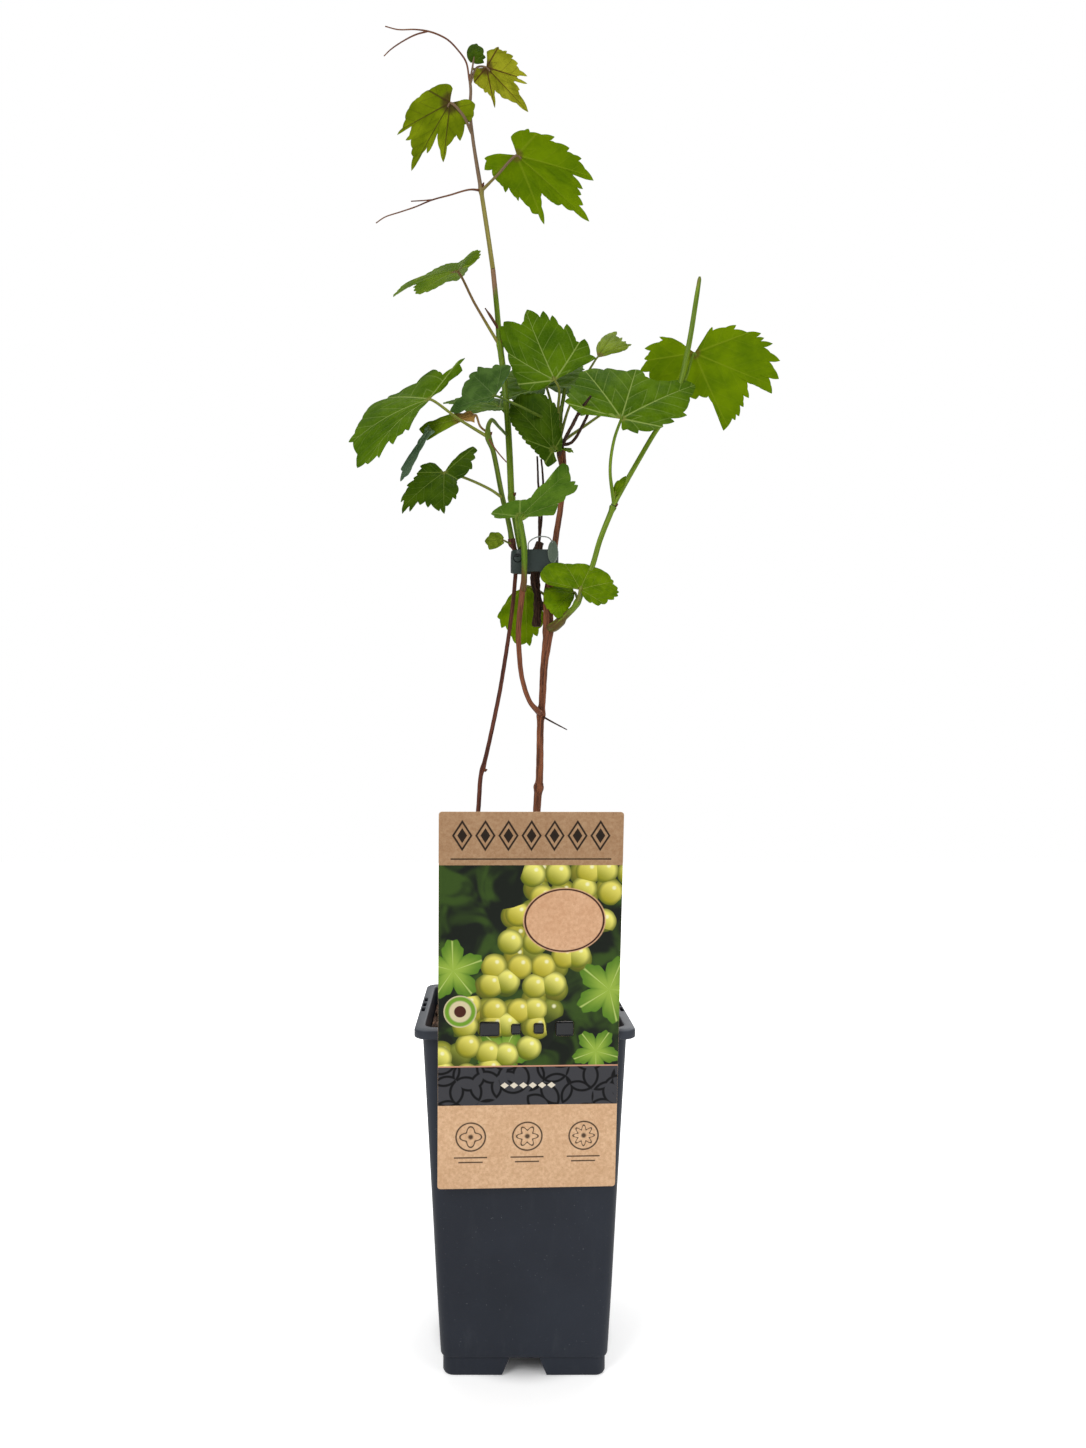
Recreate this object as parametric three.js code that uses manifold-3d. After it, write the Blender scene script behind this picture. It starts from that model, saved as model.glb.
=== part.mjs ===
// A young grapevine in a tall square nursery pot, with a hanging card on the rim
// and a clip that gathers the canes.
//
// Millimetres, +Z up. The pot stands on z = 0 with its middle on the Z axis,
// and the card hangs on the -Y side.

import * as THREE from "three";
import { mergeVertices } from "three/addons/utils/BufferGeometryUtils.js";
import Module from "manifold-3d";

const wasm = await Module();
wasm.setup();

const GAP = 0.3; // between pieces that touch

// The pot
const POT_HEIGHT = 178.5;
const RIM_HALF = 55;
const LIP_HEIGHT = 5.3;
const BODY_TOP_HALF = 51;
const BODY_BOTTOM_HALF = 42.4;
const FOOT_HALF = 41.2;
const FOOT_HEIGHT = 9.8;
const WALL = 1.3;
const FLOOR_TOP = 12;
const FOOT_ARCH = { top: 7.5, bottom: 11.5, reach: 12 }; // half widths, and how near the middle it ends
const RIM_SLOT = { width: 2, length: 10, pitch: 11.5, from: 51.9 };
const DRAIN_HOLE = { radius: 3, from: 26 };
const CORNER = { foot: 5, body: 6, inside: 4.8, rim: 7 };
const SOIL_HEIGHT = 168;
const SOIL_LUMP = 5;
const ROOTED = 16; // how deep the canes stand in the soil

// The card
const CARD = { width: 88.3, height: 188.2, thick: 0.7, corner: 1.5 };
const CARD_BOTTOM = [0.8, -49.7, 99];
const CARD_LEAN = 6.5;
const CARD_YAW = 3;
const CARD_ROLL = 0.2;

// The clip
const CLIP = {
  x: 7.6,
  y: 0,
  z: 412.4,
  halfX: 14.4,
  halfY: 12,
  wall: 1.2,
  height: 11.8,
  leverX: 7.9,
  hingeX: -8.6,
};

const LEAF_THICK = 0.7;

const colours = {
  pot: 0x2e343b,
  soil: 0x3b2a20,
  card: 0xc79a70,
  clip: 0x2f3f42,
  wood: 0x6f4535,
  deadWood: 0x3c2620,
  stem: 0x6c8a38,
  leaf: 0x4f7d18,
  youngLeaf: 0x7c9422,
};

// Solids

const toRadians = THREE.MathUtils.degToRad;
const vector = ([x, y, z]) => new THREE.Vector3(x, y, z);

function solidOf(geometry) {
  const bare = geometry.clone();
  bare.deleteAttribute("normal");
  bare.deleteAttribute("uv");
  const merged = mergeVertices(bare, 1e-4);
  return new wasm.Manifold(
    new wasm.Mesh({
      numProp: 3,
      vertProperties: Float32Array.from(merged.attributes.position.array),
      triVerts: Uint32Array.from(merged.index.array),
    }),
  );
}

function geometryOf(solid) {
  const { numProp, numVert, vertProperties, triVerts } = solid.getMesh();
  const position = new Float32Array(numVert * 3);
  for (let i = 0; i < numVert; i++) {
    position.set(vertProperties.subarray(i * numProp, i * numProp + 3), i * 3);
  }
  const geometry = new THREE.BufferGeometry();
  geometry.setAttribute("position", new THREE.BufferAttribute(position, 3));
  geometry.setIndex(new THREE.BufferAttribute(triVerts, 1));
  geometry.computeVertexNormals();
  return geometry;
}

const join = (solids) => solids.reduce((all, next) => all.add(next));
const cut = (solid, tools) => tools.reduce((left, tool) => left.subtract(tool), solid);

// A cut can leave crumbs behind: only the largest body is kept.
function largest(solid) {
  return solid.decompose().reduce((a, b) => (b.volume() > a.volume() ? b : a));
}

// A repeatable source of numbers from 0 to 1.
function seeded(seed) {
  let state = seed;
  return () => {
    state = (state * 1103515245 + 12345) % 2147483648;
    return state / 2147483648;
  };
}

// A closed skin over a stack of rings that all have the same number of points.
function skin(rings) {
  const n = rings[0].length;
  const points = rings.flat();
  const index = [];
  for (let r = 0; r + 1 < rings.length; r++) {
    for (let i = 0; i < n; i++) {
      const a = r * n + i;
      const b = r * n + ((i + 1) % n);
      index.push(a, b, b + n, a, b + n, a + n);
    }
  }
  for (const r of [0, rings.length - 1]) {
    const middle = new THREE.Vector3();
    rings[r].forEach((p) => middle.addScaledVector(p, 1 / n));
    const c = points.length;
    points.push(middle);
    for (let i = 0; i < n; i++) {
      const a = r * n + i;
      const b = r * n + ((i + 1) % n);
      index.push(...(r === 0 ? [b, a, c] : [a, b, c]));
    }
  }
  return new THREE.BufferGeometry().setFromPoints(points).setIndex(index);
}

function roundedSquare(half, radius, z, perCorner = 4) {
  const ring = [];
  for (let corner = 0; corner < 4; corner++) {
    const turn = (corner * Math.PI) / 2;
    const cx = (half - radius) * Math.SQRT2 * Math.cos(turn + Math.PI / 4);
    const cy = (half - radius) * Math.SQRT2 * Math.sin(turn + Math.PI / 4);
    for (let i = 0; i <= perCorner; i++) {
      const a = turn + ((i / perCorner) * Math.PI) / 2;
      ring.push(new THREE.Vector3(cx + radius * Math.cos(a), cy + radius * Math.sin(a), z));
    }
  }
  return ring;
}

const box = (sizes, at) => solidOf(new THREE.BoxGeometry(...sizes).translate(...at));

// A round tapered stem through stations of [x, y, z, radius].
function stem(stations, { sides = 7, steps = 2, extra = 0 } = {}) {
  const curve = new THREE.CatmullRomCurve3(stations.map(vector), false, "centripetal");
  const spans = stations.length - 1;
  const count = spans * steps;
  const across = new THREE.Vector3(0.3, 0.9, 0.1);
  const rings = [];
  for (let k = 0; k <= count; k++) {
    const at = curve.getPoint(k / count);
    const along = curve.getTangent(k / count);
    if (k === 0) at.addScaledVector(along, -extra);
    if (k === count) at.addScaledVector(along, extra);
    across.addScaledVector(along, -across.dot(along)).normalize();
    const side = new THREE.Vector3().crossVectors(along, across);
    const span = Math.min(Math.floor(k / steps), spans - 1);
    const part = k / steps - span;
    const radius =
      THREE.MathUtils.lerp(stations[span][3], stations[span + 1][3], part) + extra;
    const ring = [];
    for (let i = 0; i < sides; i++) {
      const a = (2 * Math.PI * i) / sides;
      ring.push(
        at
          .clone()
          .addScaledVector(across, radius * Math.cos(a))
          .addScaledVector(side, radius * Math.sin(a)),
      );
    }
    rings.push(ring);
  }
  return solidOf(skin(rings));
}

// The same stem with room round it, to keep its neighbours clear.
const roomFor = (stations, options = {}) => stem(stations, { ...options, extra: GAP });

// A leaf blade: a thin cupped slab round the point where its stalk meets it.
// The outline runs round that point as [degrees from the midrib, reach], where a
// reach of 1 is the distance from root to tip. face is the way the upper side looks,
// arch lifts the middle of the blade, cup bends its sides down, and heel lifts the
// lobes behind the stalk.
function leaf({ root, tip, face, outline, arch = 0.05, cup = 0.12, heel = 0 }) {
  const start = vector(root);
  const along = vector(tip).sub(start);
  const length = along.length();
  along.divideScalar(length);
  const up = vector(face);
  up.addScaledVector(along, -up.dot(along)).normalize();
  const left = new THREE.Vector3().crossVectors(up, along);
  const place = (degrees, reach, level) => {
    const u = reach * Math.cos(toRadians(degrees));
    const w = reach * Math.sin(toRadians(degrees));
    const front = Math.max(u, 0);
    const lift = 4 * arch * front * (1 - front) - cup * w * w + heel * Math.max(-u, 0);
    return start
      .clone()
      .addScaledVector(along, u * length)
      .addScaledVector(left, w * length)
      .addScaledVector(up, lift * length + level * LEAF_THICK);
  };
  const n = outline.length;
  const points = [];
  for (const level of [0.5, -0.5]) {
    points.push(place(0, 0, level));
    for (const part of [0.5, 1]) {
      outline.forEach(([degrees, reach]) => points.push(place(degrees, reach * part, level)));
    }
  }
  const index = [];
  const under = 2 * n + 1;
  for (let i = 0; i < n; i++) {
    const j = (i + 1) % n;
    const [a, b, c, d] = [1 + i, 1 + j, 1 + n + j, 1 + n + i];
    index.push(0, a, b, a, d, c, a, c, b);
    index.push(under, under + b, under + a, under + a, under + c, under + d);
    index.push(under + a, under + b, under + c);
    index.push(d, under + d, under + c, d, under + c, c);
  }
  return solidOf(new THREE.BufferGeometry().setFromPoints(points).setIndex(index));
}

// The outline that the leaves at the back share
const broadOutline = [
  [-150, 0.3], [-125, 0.5], [-100, 0.62], [-78, 0.66], [-58, 0.86], [-44, 0.88],
  [-32, 0.7], [-16, 0.84], [0, 1], [16, 0.84], [32, 0.7], [44, 0.88],
  [58, 0.86], [78, 0.66], [100, 0.62], [125, 0.5], [150, 0.3],
];

// Leaves, named after where they grow

const leaves = {
  tipBud: {
    root: [-24.6, -1, 701], tip: [-25.6, -4, 691.4], face: [-0.6, -0.8, 0.1],
    outline: [[-150, 0.3], [-110, 0.5], [-60, 0.62], [-25, 0.8], [0, 1], [25, 0.8],
      [60, 0.62], [110, 0.5], [150, 0.3]],
    cup: 0.6,
  },
  tipLeaf: {
    root: [-19.3, 0, 690], tip: [3.5, 10.1, 672.7], face: [0.1, 0.8, 0.6],
    outline: [[-127, 0.24], [-95, 0.35], [-61, 0.49], [-44, 0.57], [-32, 0.71], [-27, 0.57],
      [-23, 0.78], [-17, 0.56], [-7, 0.71], [0, 1], [6, 0.7], [15, 0.5], [24, 0.4],
      [35, 0.6], [39, 0.44], [52, 0.34], [95, 0.32], [139, 0.24]],
  },
  secondLeaf: {
    root: [-38.9, -6, 666.6], tip: [-60.7, 7.8, 638.6], face: [-0.2, 0.8, 0.55],
    outline: [[-134, 0.27], [-123, 0.36], [-101, 0.37], [-80, 0.35], [-53, 0.48],
      [-46, 0.4], [-27, 0.72], [-17, 0.52], [-8, 0.6], [0, 1], [8, 0.81], [21, 0.71],
      [30, 0.84], [39, 0.67], [51, 0.58], [73, 0.38], [98, 0.28], [139, 0.24], [157, 0.2]],
  },
  thirdLeaf: {
    root: [-2.8, -8, 637], tip: [36.9, 3.8, 608.3], face: [0.2, 0.78, 0.6],
    outline: [[-149, 0.18], [-130, 0.21], [-101, 0.26], [-73, 0.31], [-60, 0.42],
      [-44, 0.56], [-27, 0.74], [-23, 0.85], [-20, 0.64], [-14, 0.73], [-4, 0.83],
      [0, 1], [4, 0.74], [11, 0.64], [17, 0.46], [28, 0.71], [34, 0.55], [50, 0.39],
      [73, 0.35], [109, 0.34], [123, 0.37], [141, 0.33]],
  },
  fourthLeaf: {
    root: [-35.2, -4, 576.8], tip: [-69.3, -1.4, 564.5], face: [-0.34, -0.36, 0.87],
    outline: [[-160, 0.4], [-145, 0.6], [-122, 0.66], [-100, 0.7], [-78, 0.74], [-58, 0.86],
      [-44, 0.88], [-32, 0.72], [-16, 0.84], [0, 1], [16, 0.84], [32, 0.72], [44, 0.88],
      [58, 0.86], [78, 0.74], [100, 0.7], [122, 0.66], [145, 0.6], [160, 0.4]],
    arch: 0.03, cup: 0.04, heel: 0.3,
  },
  crownLeaf: {
    root: [17.3, -10, 515.4], tip: [2, 6, 561], face: [-0.1, -0.95, 0.3],
    outline: [[-66, 0.3], [-64, 0.48], [-50, 0.55], [-41, 0.6], [-34, 0.55], [-23, 0.75],
      [-17, 0.73], [-10, 0.9], [-4, 0.92], [0, 1], [6, 0.86], [14, 0.95], [20, 0.92],
      [26, 0.78], [40, 0.56], [60, 0.42], [88, 0.34], [105, 0.33]],
    arch: -0.04, cup: -0.1,
  },
  crownBud: {
    root: [41.1, -5, 529.9], tip: [59.9, 7.6, 541.4], face: [0.2, -0.8, 0.55],
    outline: [[-160, 0.06], [-20, 0.4], [-8, 0.7], [0, 1], [12, 0.98], [25, 1.12],
      [33, 0.94], [50, 0.42]],
  },
  greyLeaf: {
    root: [-14.7, -23.4, 501.7], tip: [-38.2, -18.3, 495.3], face: [-0.3, -0.85, 0.42],
    outline: [[-140, 0.3], [-128, 0.72], [-98, 0.95], [-77, 1.08], [-64, 1.01],
      [-45, 0.88], [-21, 0.84], [0, 1], [8, 0.62], [30, 0.3], [90, 0.14]],
    cup: -0.06,
  },
  heartLeaf: {
    root: [16.5, -14, 476.7], tip: [-5.8, -5, 504.9], face: [-0.2, -0.95, 0.2],
    outline: [[-150, 0.12], [-53, 0.34], [-43, 0.6], [-29, 0.82], [-18, 0.92],
      [-9, 1.02], [0, 1], [7, 0.9], [16, 0.74], [32, 0.42], [100, 0.21], [125, 0.27],
      [157, 0.18]],
    cup: -0.3,
  },
  leftLeaf: {
    root: [-49, -24, 499.7], tip: [-85.7, -34.8, 461.5], face: [-0.35, -0.75, 0.55],
    outline: [[-174, 0.3], [-176, 0.48], [-170, 0.6], [-160, 0.5], [-146, 0.42],
      [-133, 0.5], [-120, 0.48], [-108, 0.43], [-92, 0.48], [-78, 0.55], [-64, 0.69],
      [-50, 0.73], [-32, 0.8], [-13, 0.9], [0, 1], [6, 0.88], [10, 0.74], [13, 0.6],
      [22, 0.5], [60, 0.12]],
    arch: 0.08, cup: 0.2,
  },
  hangingLeaf: {
    root: [-24.9, -19, 493.4], tip: [-55, -15.5, 487.1], face: [-0.3, -0.85, 0.45],
    outline: [[-150, 0.08], [-40, 0.2], [-14, 0.58], [-6, 0.85], [0, 1], [12, 0.9],
      [11, 0.62], [22, 0.26], [90, 0.08]],
    arch: 0.01,
  },
  hangingTip: {
    root: [-48.5, -19, 486.5], tip: [-63.8, -21, 457.9], face: [-0.5, -0.8, 0.3],
    outline: [[-140, 0.16], [-60, 0.14], [-16, 0.5], [-9, 0.8], [0, 1], [8, 0.8],
      [12, 0.5], [40, 0.24], [110, 0.2]],
  },
  lowLeftLeaf: {
    root: [-41, -30, 459.7], tip: [-40.1, -47, 433.8], face: [-0.1, -0.8, 0.6],
    outline: [[-150, 0.32], [-115, 0.42], [-69, 0.6], [-49, 0.86], [-36, 1.08],
      [-29, 0.84], [-16, 0.9], [-8, 0.86], [0, 1], [8, 0.76], [18, 0.7], [30, 0.47],
      [63, 0.37], [95, 0.44], [123, 0.55], [137, 0.76], [146, 0.5], [155, 0.2]],
    cup: 0.05,
  },
  clipBud: {
    root: [-10.4, -12, 429], tip: [-19.8, -12.5, 428.6], face: [0, -0.9, 0.4],
    outline: [[-110, 0.2], [-69, 0.58], [-38, 0.86], [-4, 1], [36, 1.02], [60, 0.55],
      [120, 0.15]],
  },
  frontLeaf: {
    root: [-1.7, -26, 437.8], tip: [25.3, -12.5, 465.6], face: [0.1, -0.92, 0.35],
    outline: [[-150, 0.1], [-42, 0.44], [-24, 0.6], [-15, 0.74], [-10, 0.93], [0, 1],
      [6, 1.02], [10, 0.82], [16, 0.54], [36, 0.32], [78, 0.27], [107, 0.31],
      [126, 0.36], [138, 0.3]],
    arch: 0.03, cup: 0.1,
  },
  rightLeaf: {
    root: [49.4, -38, 484.7], tip: [59.5, -18.1, 516.5], face: [0.1, -0.85, 0.5],
    outline: [[-147, 0.2], [-122, 0.32], [-104, 0.47], [-84, 0.55], [-71, 0.72],
      [-60, 0.94], [-48, 1.02], [-42, 1.18], [-36, 1.33], [-31, 1.24], [-22, 1],
      [-13, 0.92], [0, 1], [8, 0.94], [16, 0.98], [31, 1], [42, 0.96], [62, 0.83],
      [88, 0.74], [96, 0.64], [105, 0.48], [110, 0.36]],
    arch: 0.02, cup: 0.08,
  },
  farRightLeaf: {
    root: [92.7, -8, 530.6], tip: [112.3, 1, 494.9], face: [0, 0.95, 0.25],
    outline: [[-122, 0.36], [-97, 0.56], [-79, 0.8], [-69, 0.95], [-58, 1.02],
      [-48, 1.06], [-40, 1.08], [-36, 0.78], [-19, 0.88], [-9, 0.95], [0, 1], [3, 0.68],
      [20, 0.5], [62, 0.5], [89, 0.62], [99, 0.66], [119, 0.57], [139, 0.44], [150, 0.24]],
    arch: 0.04, cup: -0.06,
  },
  shootBud: {
    root: [48.6, -17, 452.4], tip: [54.8, -15.5, 462.3], face: [-0.3, -0.9, 0.3],
    outline: [[-150, 0.1], [-35, 0.32], [-14, 0.64], [0, 1], [20, 0.62], [38, 0.3],
      [150, 0.1]],
  },
  capLeaf: {
    root: [30.2, -18.6, 401.5], tip: [36.4, -13.5, 414.6], face: [0.05, -0.94, 0.34],
    outline: [[-135, 0.29], [-131, 0.57], [-110, 0.85], [-88, 1.08], [-71, 1.31],
      [-61, 1.32], [-41, 1.14], [-26, 1.07], [0, 1], [24, 0.99], [52, 1.15], [71, 1.45],
      [90, 1.46], [98, 1.35], [109, 0.94], [118, 0.4]],
    cup: 0.06,
  },
  nodeLeaf: {
    root: [27.6, -1, 402.8], tip: [14.1, -10, 388.4], face: [0, -0.85, 0.5],
    outline: [[-120, 0.2], [-86, 0.36], [-60, 0.72], [-40, 0.85], [-20, 0.94], [0, 1],
      [14, 0.86], [22, 0.56], [60, 0.2]],
  },
  backLeaf: {
    root: [2.7, 14.5, 409.5], tip: [3.2, 12, 373.5], face: [0, 1, 0.12],
    outline: [[-100, 0.3], [-40, 0.44], [-30, 0.62], [-18, 0.8], [-10, 0.88], [0, 1],
      [9, 0.9], [16, 0.95], [27, 0.84], [41, 0.66], [50, 0.44], [100, 0.3]],
  },
  rearCrownLeaf: {
    root: [18, 20, 520], tip: [12, 48, 546], face: [-0.1, -0.55, 0.8],
    outline: broadOutline, arch: 0.08,
  },
  rearRightLeaf: {
    root: [48, 22, 512], tip: [76, 40, 520], face: [0.05, -0.25, 0.97],
    outline: broadOutline, arch: 0.1,
  },
  rearLeftLeaf: {
    root: [-12, 20, 512], tip: [-36, 42, 523], face: [-0.1, -0.3, 0.95],
    outline: broadOutline, arch: 0.1,
  },
};

// Canes, stems and stalks, as [x, y, z, radius] from the root up

const SOIL_ENTRY = SOIL_HEIGHT - ROOTED;

const mainCane = [
  [6, 5, SOIL_ENTRY, 2.5], [6.4, 5, 210, 2.3], [8.4, 5, 281, 2.15], [9, 5, 292, 2.2],
  [9.4, 5, 297, 2.8], [9.8, 5, 302, 2.2], [10.4, 4.2, 331, 2.2], [10.7, 4, 337, 2.8],
  [11.2, 3.8, 343, 2.2], [12.8, 3, 364, 2.2], [15.2, 2.2, 379, 2.4], [16.1, 2, 384.5, 3.1],
  [16.6, 2, 391, 2.5], [17.2, 2, 400, 2.1], [18.3, 2, 421, 1.8], [19.4, 3, 435.4, 1.6],
  [21.7, 4, 453, 1.5], [22.9, 5, 471, 1.8], [21.8, 6, 482, 2.4],
];
const leftCane = [
  [-31, 4, SOIL_ENTRY, 1.3], [-30, 3.4, 220, 1.2], [-24, 2, 281.5, 1.2],
  [-22.4, 1.6, 303, 1.2], [-21.2, 1, 307.5, 1.5], [-20, 0.8, 312, 1.2],
  [-11.9, -1, 350, 1.15], [-4.9, -3, 398.7, 1.1], [-3.9, -4, 418, 1.1],
  [-4.2, -4.4, 425.5, 1.15], [-5.2, -5, 428.6, 1.8], [-5.5, -5.4, 430.6, 1.6],
];
const sideCane = [
  [10.7, 4, 337, 1.6], [8.6, -2.4, 338.4, 1.5], [4.3, -6, 343, 1.2], [0.1, -9, 354.6, 1.15],
  [-1.8, -10, 370.5, 1.15], [-2.1, -9.6, 381, 1.15], [-0.2, -9, 400, 1.15],
  [0.9, -8.8, 413.7, 1.2], [-0.2, -8.4, 425, 1.25],
];
const oldStub = [
  [16.1, 2, 384.5, 2.2], [12, 4.6, 385.6, 2.3], [9.2, 6, 389.6, 2.7], [8.8, 6, 401, 2.3],
  [7.9, 6, 418, 2.2], [8.6, 6, 426, 2.5], [10.2, 6, 432, 2.1],
];
const oldTwigs = [
  [[10, 6, 428, 0.7], [9.8, 7.6, 443, 0.65], [9.8, 8.6, 456, 0.65], [8.8, 9, 480.5, 0.5]],
  [[9.4, 6, 428, 0.7], [11.4, 9.4, 448, 0.65], [12.3, 11.6, 466, 0.6], [11.2, 12.5, 480, 0.5]],
];
const leaderStem = [
  [-0.6, -8, 425.8, 1.9], [-1.6, -5.6, 431, 1.9], [-3.7, -2, 444, 1.9], [-5.2, -0.4, 452, 1.9],
  [-5.6, 0, 455, 2.2], [-5.8, 0.3, 458, 1.8], [-6.6, 2, 477.9, 1.8], [-8, 4, 502.8, 1.75],
  [-10.2, 6, 527.2, 1.7], [-11.5, 6, 537.5, 1.7], [-11.9, 6, 541, 2], [-12.3, 6, 545, 1.6],
  [-13.5, 6, 560.3, 1.45], [-15.7, 6, 582.4, 1.35],
];
const leaderBract = [[-12.4, 5.6, 549, 0.7], [-16.8, 2, 554.6, 0.8], [-20.1, 0, 558.6, 0.35]];
const leaderTop = [
  [-15.75, 6, 582.9, 1.3], [-18.5, 5, 601.2, 1.25], [-21.8, 4, 622, 1.2],
  [-22.3, 4, 625.4, 1.6], [-22.9, 3.9, 629, 1.15], [-26.7, 2, 651.6, 0.95],
  [-28.3, 0, 666.7, 0.85], [-27.9, 0, 677.6, 0.8], [-28.8, 0, 686, 0.7],
];
const leftShoot = [
  [-5.7, -5.8, 431.2, 1.6], [-6.4, -6.4, 435.5, 1.4], [-8.2, -8, 443.5, 1.35],
  [-10.6, -10, 452.1, 1.35], [-15.7, -16, 475.3, 1.3], [-18.2, -18, 482, 1.8],
  [-18.3, -19.6, 487, 1.2], [-16.6, -18, 491, 1.05], [-12.6, -9, 490.6, 0.8],
  [-7.6, 3, 489.6, 0.75],
];
const rightShoot = [
  [16.1, 2, 384.5, 2.2], [18.6, -3, 384.4, 2.5], [22.1, -6.5, 387.6, 2.2],
  [27.4, -10.8, 393, 1.7], [29.1, -12, 395.6, 2.1], [30.8, -12.6, 399, 1.65],
  [36.9, -14, 414.3, 1.6], [41.1, -14.5, 428.5, 1.6], [46.8, -15, 443, 1.6],
  [48, -15, 446, 2.1],
];
const rightShootTop = [
  [48.2, -15.1, 446.6, 1.6], [49.8, -15.2, 450, 1.5], [67.5, -16, 481.1, 1.4],
  [80.7, -16, 502.3, 1.35], [88.7, -16, 528.8, 1.4], [92.6, -15, 555.8, 1.2],
  [93.9, -14, 566.4, 0.8],
];
const crownHub = [[21.7, 6, 482.4, 2.2], [20.8, 4, 486, 2.2], [20.2, 1.5, 489.6, 1.9]];

const stalks = {
  tipBud: [[-28.3, 0, 683, 0.55], [-25.6, -0.5, 696, 0.5], [-24.6, -1, 701.4, 0.45]],
  tipLeaf: [[-28.1, 0, 681, 0.6], [-24.5, 0.6, 690.4, 0.5], [-19.3, 0, 690, 0.5],
    [-17.4, 0.8, 688.6, 0.4]],
  secondLeaf: [[-27.4, 1.4, 655, 0.85], [-31.9, -5, 660.5, 0.75], [-38.9, -6, 666.6, 0.6],
    [-40.4, -5.2, 664.8, 0.5]],
  thirdLeaf: [[-22.3, 4, 624.6, 0.9], [-13.6, -4, 628.6, 0.7], [-2.8, -8, 637, 0.65],
    [-0.6, -7.4, 635.5, 0.5]],
  fourthLeaf: [[-11.9, 6, 540.5, 0.9], [-25.6, 1, 561.4, 0.7], [-35.2, -4, 576.8, 0.65],
    [-37.4, -4.8, 576, 0.5]],
  crownLeaf: [[20.4, 2, 488, 0.9], [19.6, -4, 502, 0.8], [19.8, -8.4, 511.3, 0.75],
    [17.3, -10, 515.4, 0.65], [16.6, -9.2, 517.6, 0.5]],
  crownBud: [[20.6, 3, 487, 0.9], [26.5, 2, 506.4, 0.7], [37.6, -2, 525.6, 0.6],
    [41.1, -5, 529.9, 0.5], [43.4, -3.6, 531.4, 0.4]],
  greyLeaf: [[20.2, 2, 488.6, 0.9], [16.6, -8, 492.5, 0.8], [3.9, -15, 496.7, 0.7],
    [-8.4, -21, 500.2, 0.65], [-14.7, -23.4, 501.7, 0.6], [-16.6, -23, 501.2, 0.5]],
  heartLeaf: [[20.3, 3, 487, 1], [18.6, -6, 481, 0.9], [16.5, -14, 476.7, 0.75],
    [15.2, -13.6, 478.3, 0.6]],
  leftLeaf: [[-18.2, -18, 482, 0.9], [-33.1, -21.4, 489.9, 0.75], [-49, -24, 499.7, 0.7],
    [-50.8, -24.4, 498, 0.5]],
  hangingLeaf: [[-18.2, -16.8, 484.6, 0.6], [-22.4, -16.8, 488, 0.6],
    [-24.9, -19, 493.4, 0.6], [-26.6, -18.8, 493, 0.5]],
  lowLeftLeaf: [[-10.6, -10, 452.1, 0.8], [-17.3, -17, 454.7, 0.75], [-31.9, -26, 458.6, 0.7],
    [-41, -30, 459.7, 0.6], [-41, -31.2, 457.8, 0.5]],
  clipBud: [[-5.3, -5, 428.8, 0.6], [-7.7, -9, 428.4, 0.5], [-10.4, -12, 429, 0.5],
    [-12, -12.1, 429, 0.4]],
  frontLeaf: [[0.6, -9, 402.5, 1.4], [0.8, -14.6, 406.5, 1.5], [0.8, -16, 412.5, 1.5], [0.7, -16.6, 424, 1.6],
    [-1, -21.6, 433.5, 1.5], [-1.7, -26, 437.8, 1.1], [0.2, -25, 439.8, 0.8]],
  rightLeaf: [[48.4, -15.4, 447.8, 1.1], [45.6, -22, 463.4, 0.85], [46.4, -32, 475.7, 0.8],
    [49.4, -38, 484.7, 0.7], [50, -36.8, 486.7, 0.5]],
  farRightLeaf: [[80.9, -16, 502.8, 0.9], [87, -12, 514.9, 0.8], [92.7, -8, 530.6, 0.7],
    [93.6, -7.6, 529, 0.5]],
  shootBud: [[48.4, -15.4, 447.6, 0.8], [48.5, -16.6, 451, 0.6], [49.2, -16.8, 453.6, 0.5]],
  capLeaf: [[29.1, -12, 395.6, 1.1], [30, -16, 398.4, 1], [30.2, -18.6, 401.5, 0.8],
    [31, -18, 403.3, 0.6]],
  nodeLeaf: [[29.1, -12, 395.6, 1], [29.4, -6, 399, 0.8], [27.6, -1, 402.8, 0.7],
    [26.4, -1.8, 401.5, 0.6]],
  backLeaf: [[17, 2, 397, 0.9], [14.5, 9.6, 402.4, 0.75], [8, 13.6, 408, 0.65],
    [2.7, 14.5, 409.5, 0.6], [2.7, 14.4, 407.6, 0.5]],
  rearCrownLeaf: [[20.6, 4, 487, 1], [20, 13, 502, 0.8], [18, 20, 520, 0.7],
    [17.6, 21.6, 521.5, 0.5]],
  rearRightLeaf: [[20.8, 4, 486, 1], [32, 14, 498, 0.8], [48, 22, 512, 0.7],
    [50, 23.3, 512.6, 0.5]],
  rearLeftLeaf: [[-7.9, 3.8, 501, 0.9], [-9, 12, 506, 0.8], [-12, 20, 512, 0.7],
    [-13.6, 21.5, 512.8, 0.5]],
};

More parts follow.
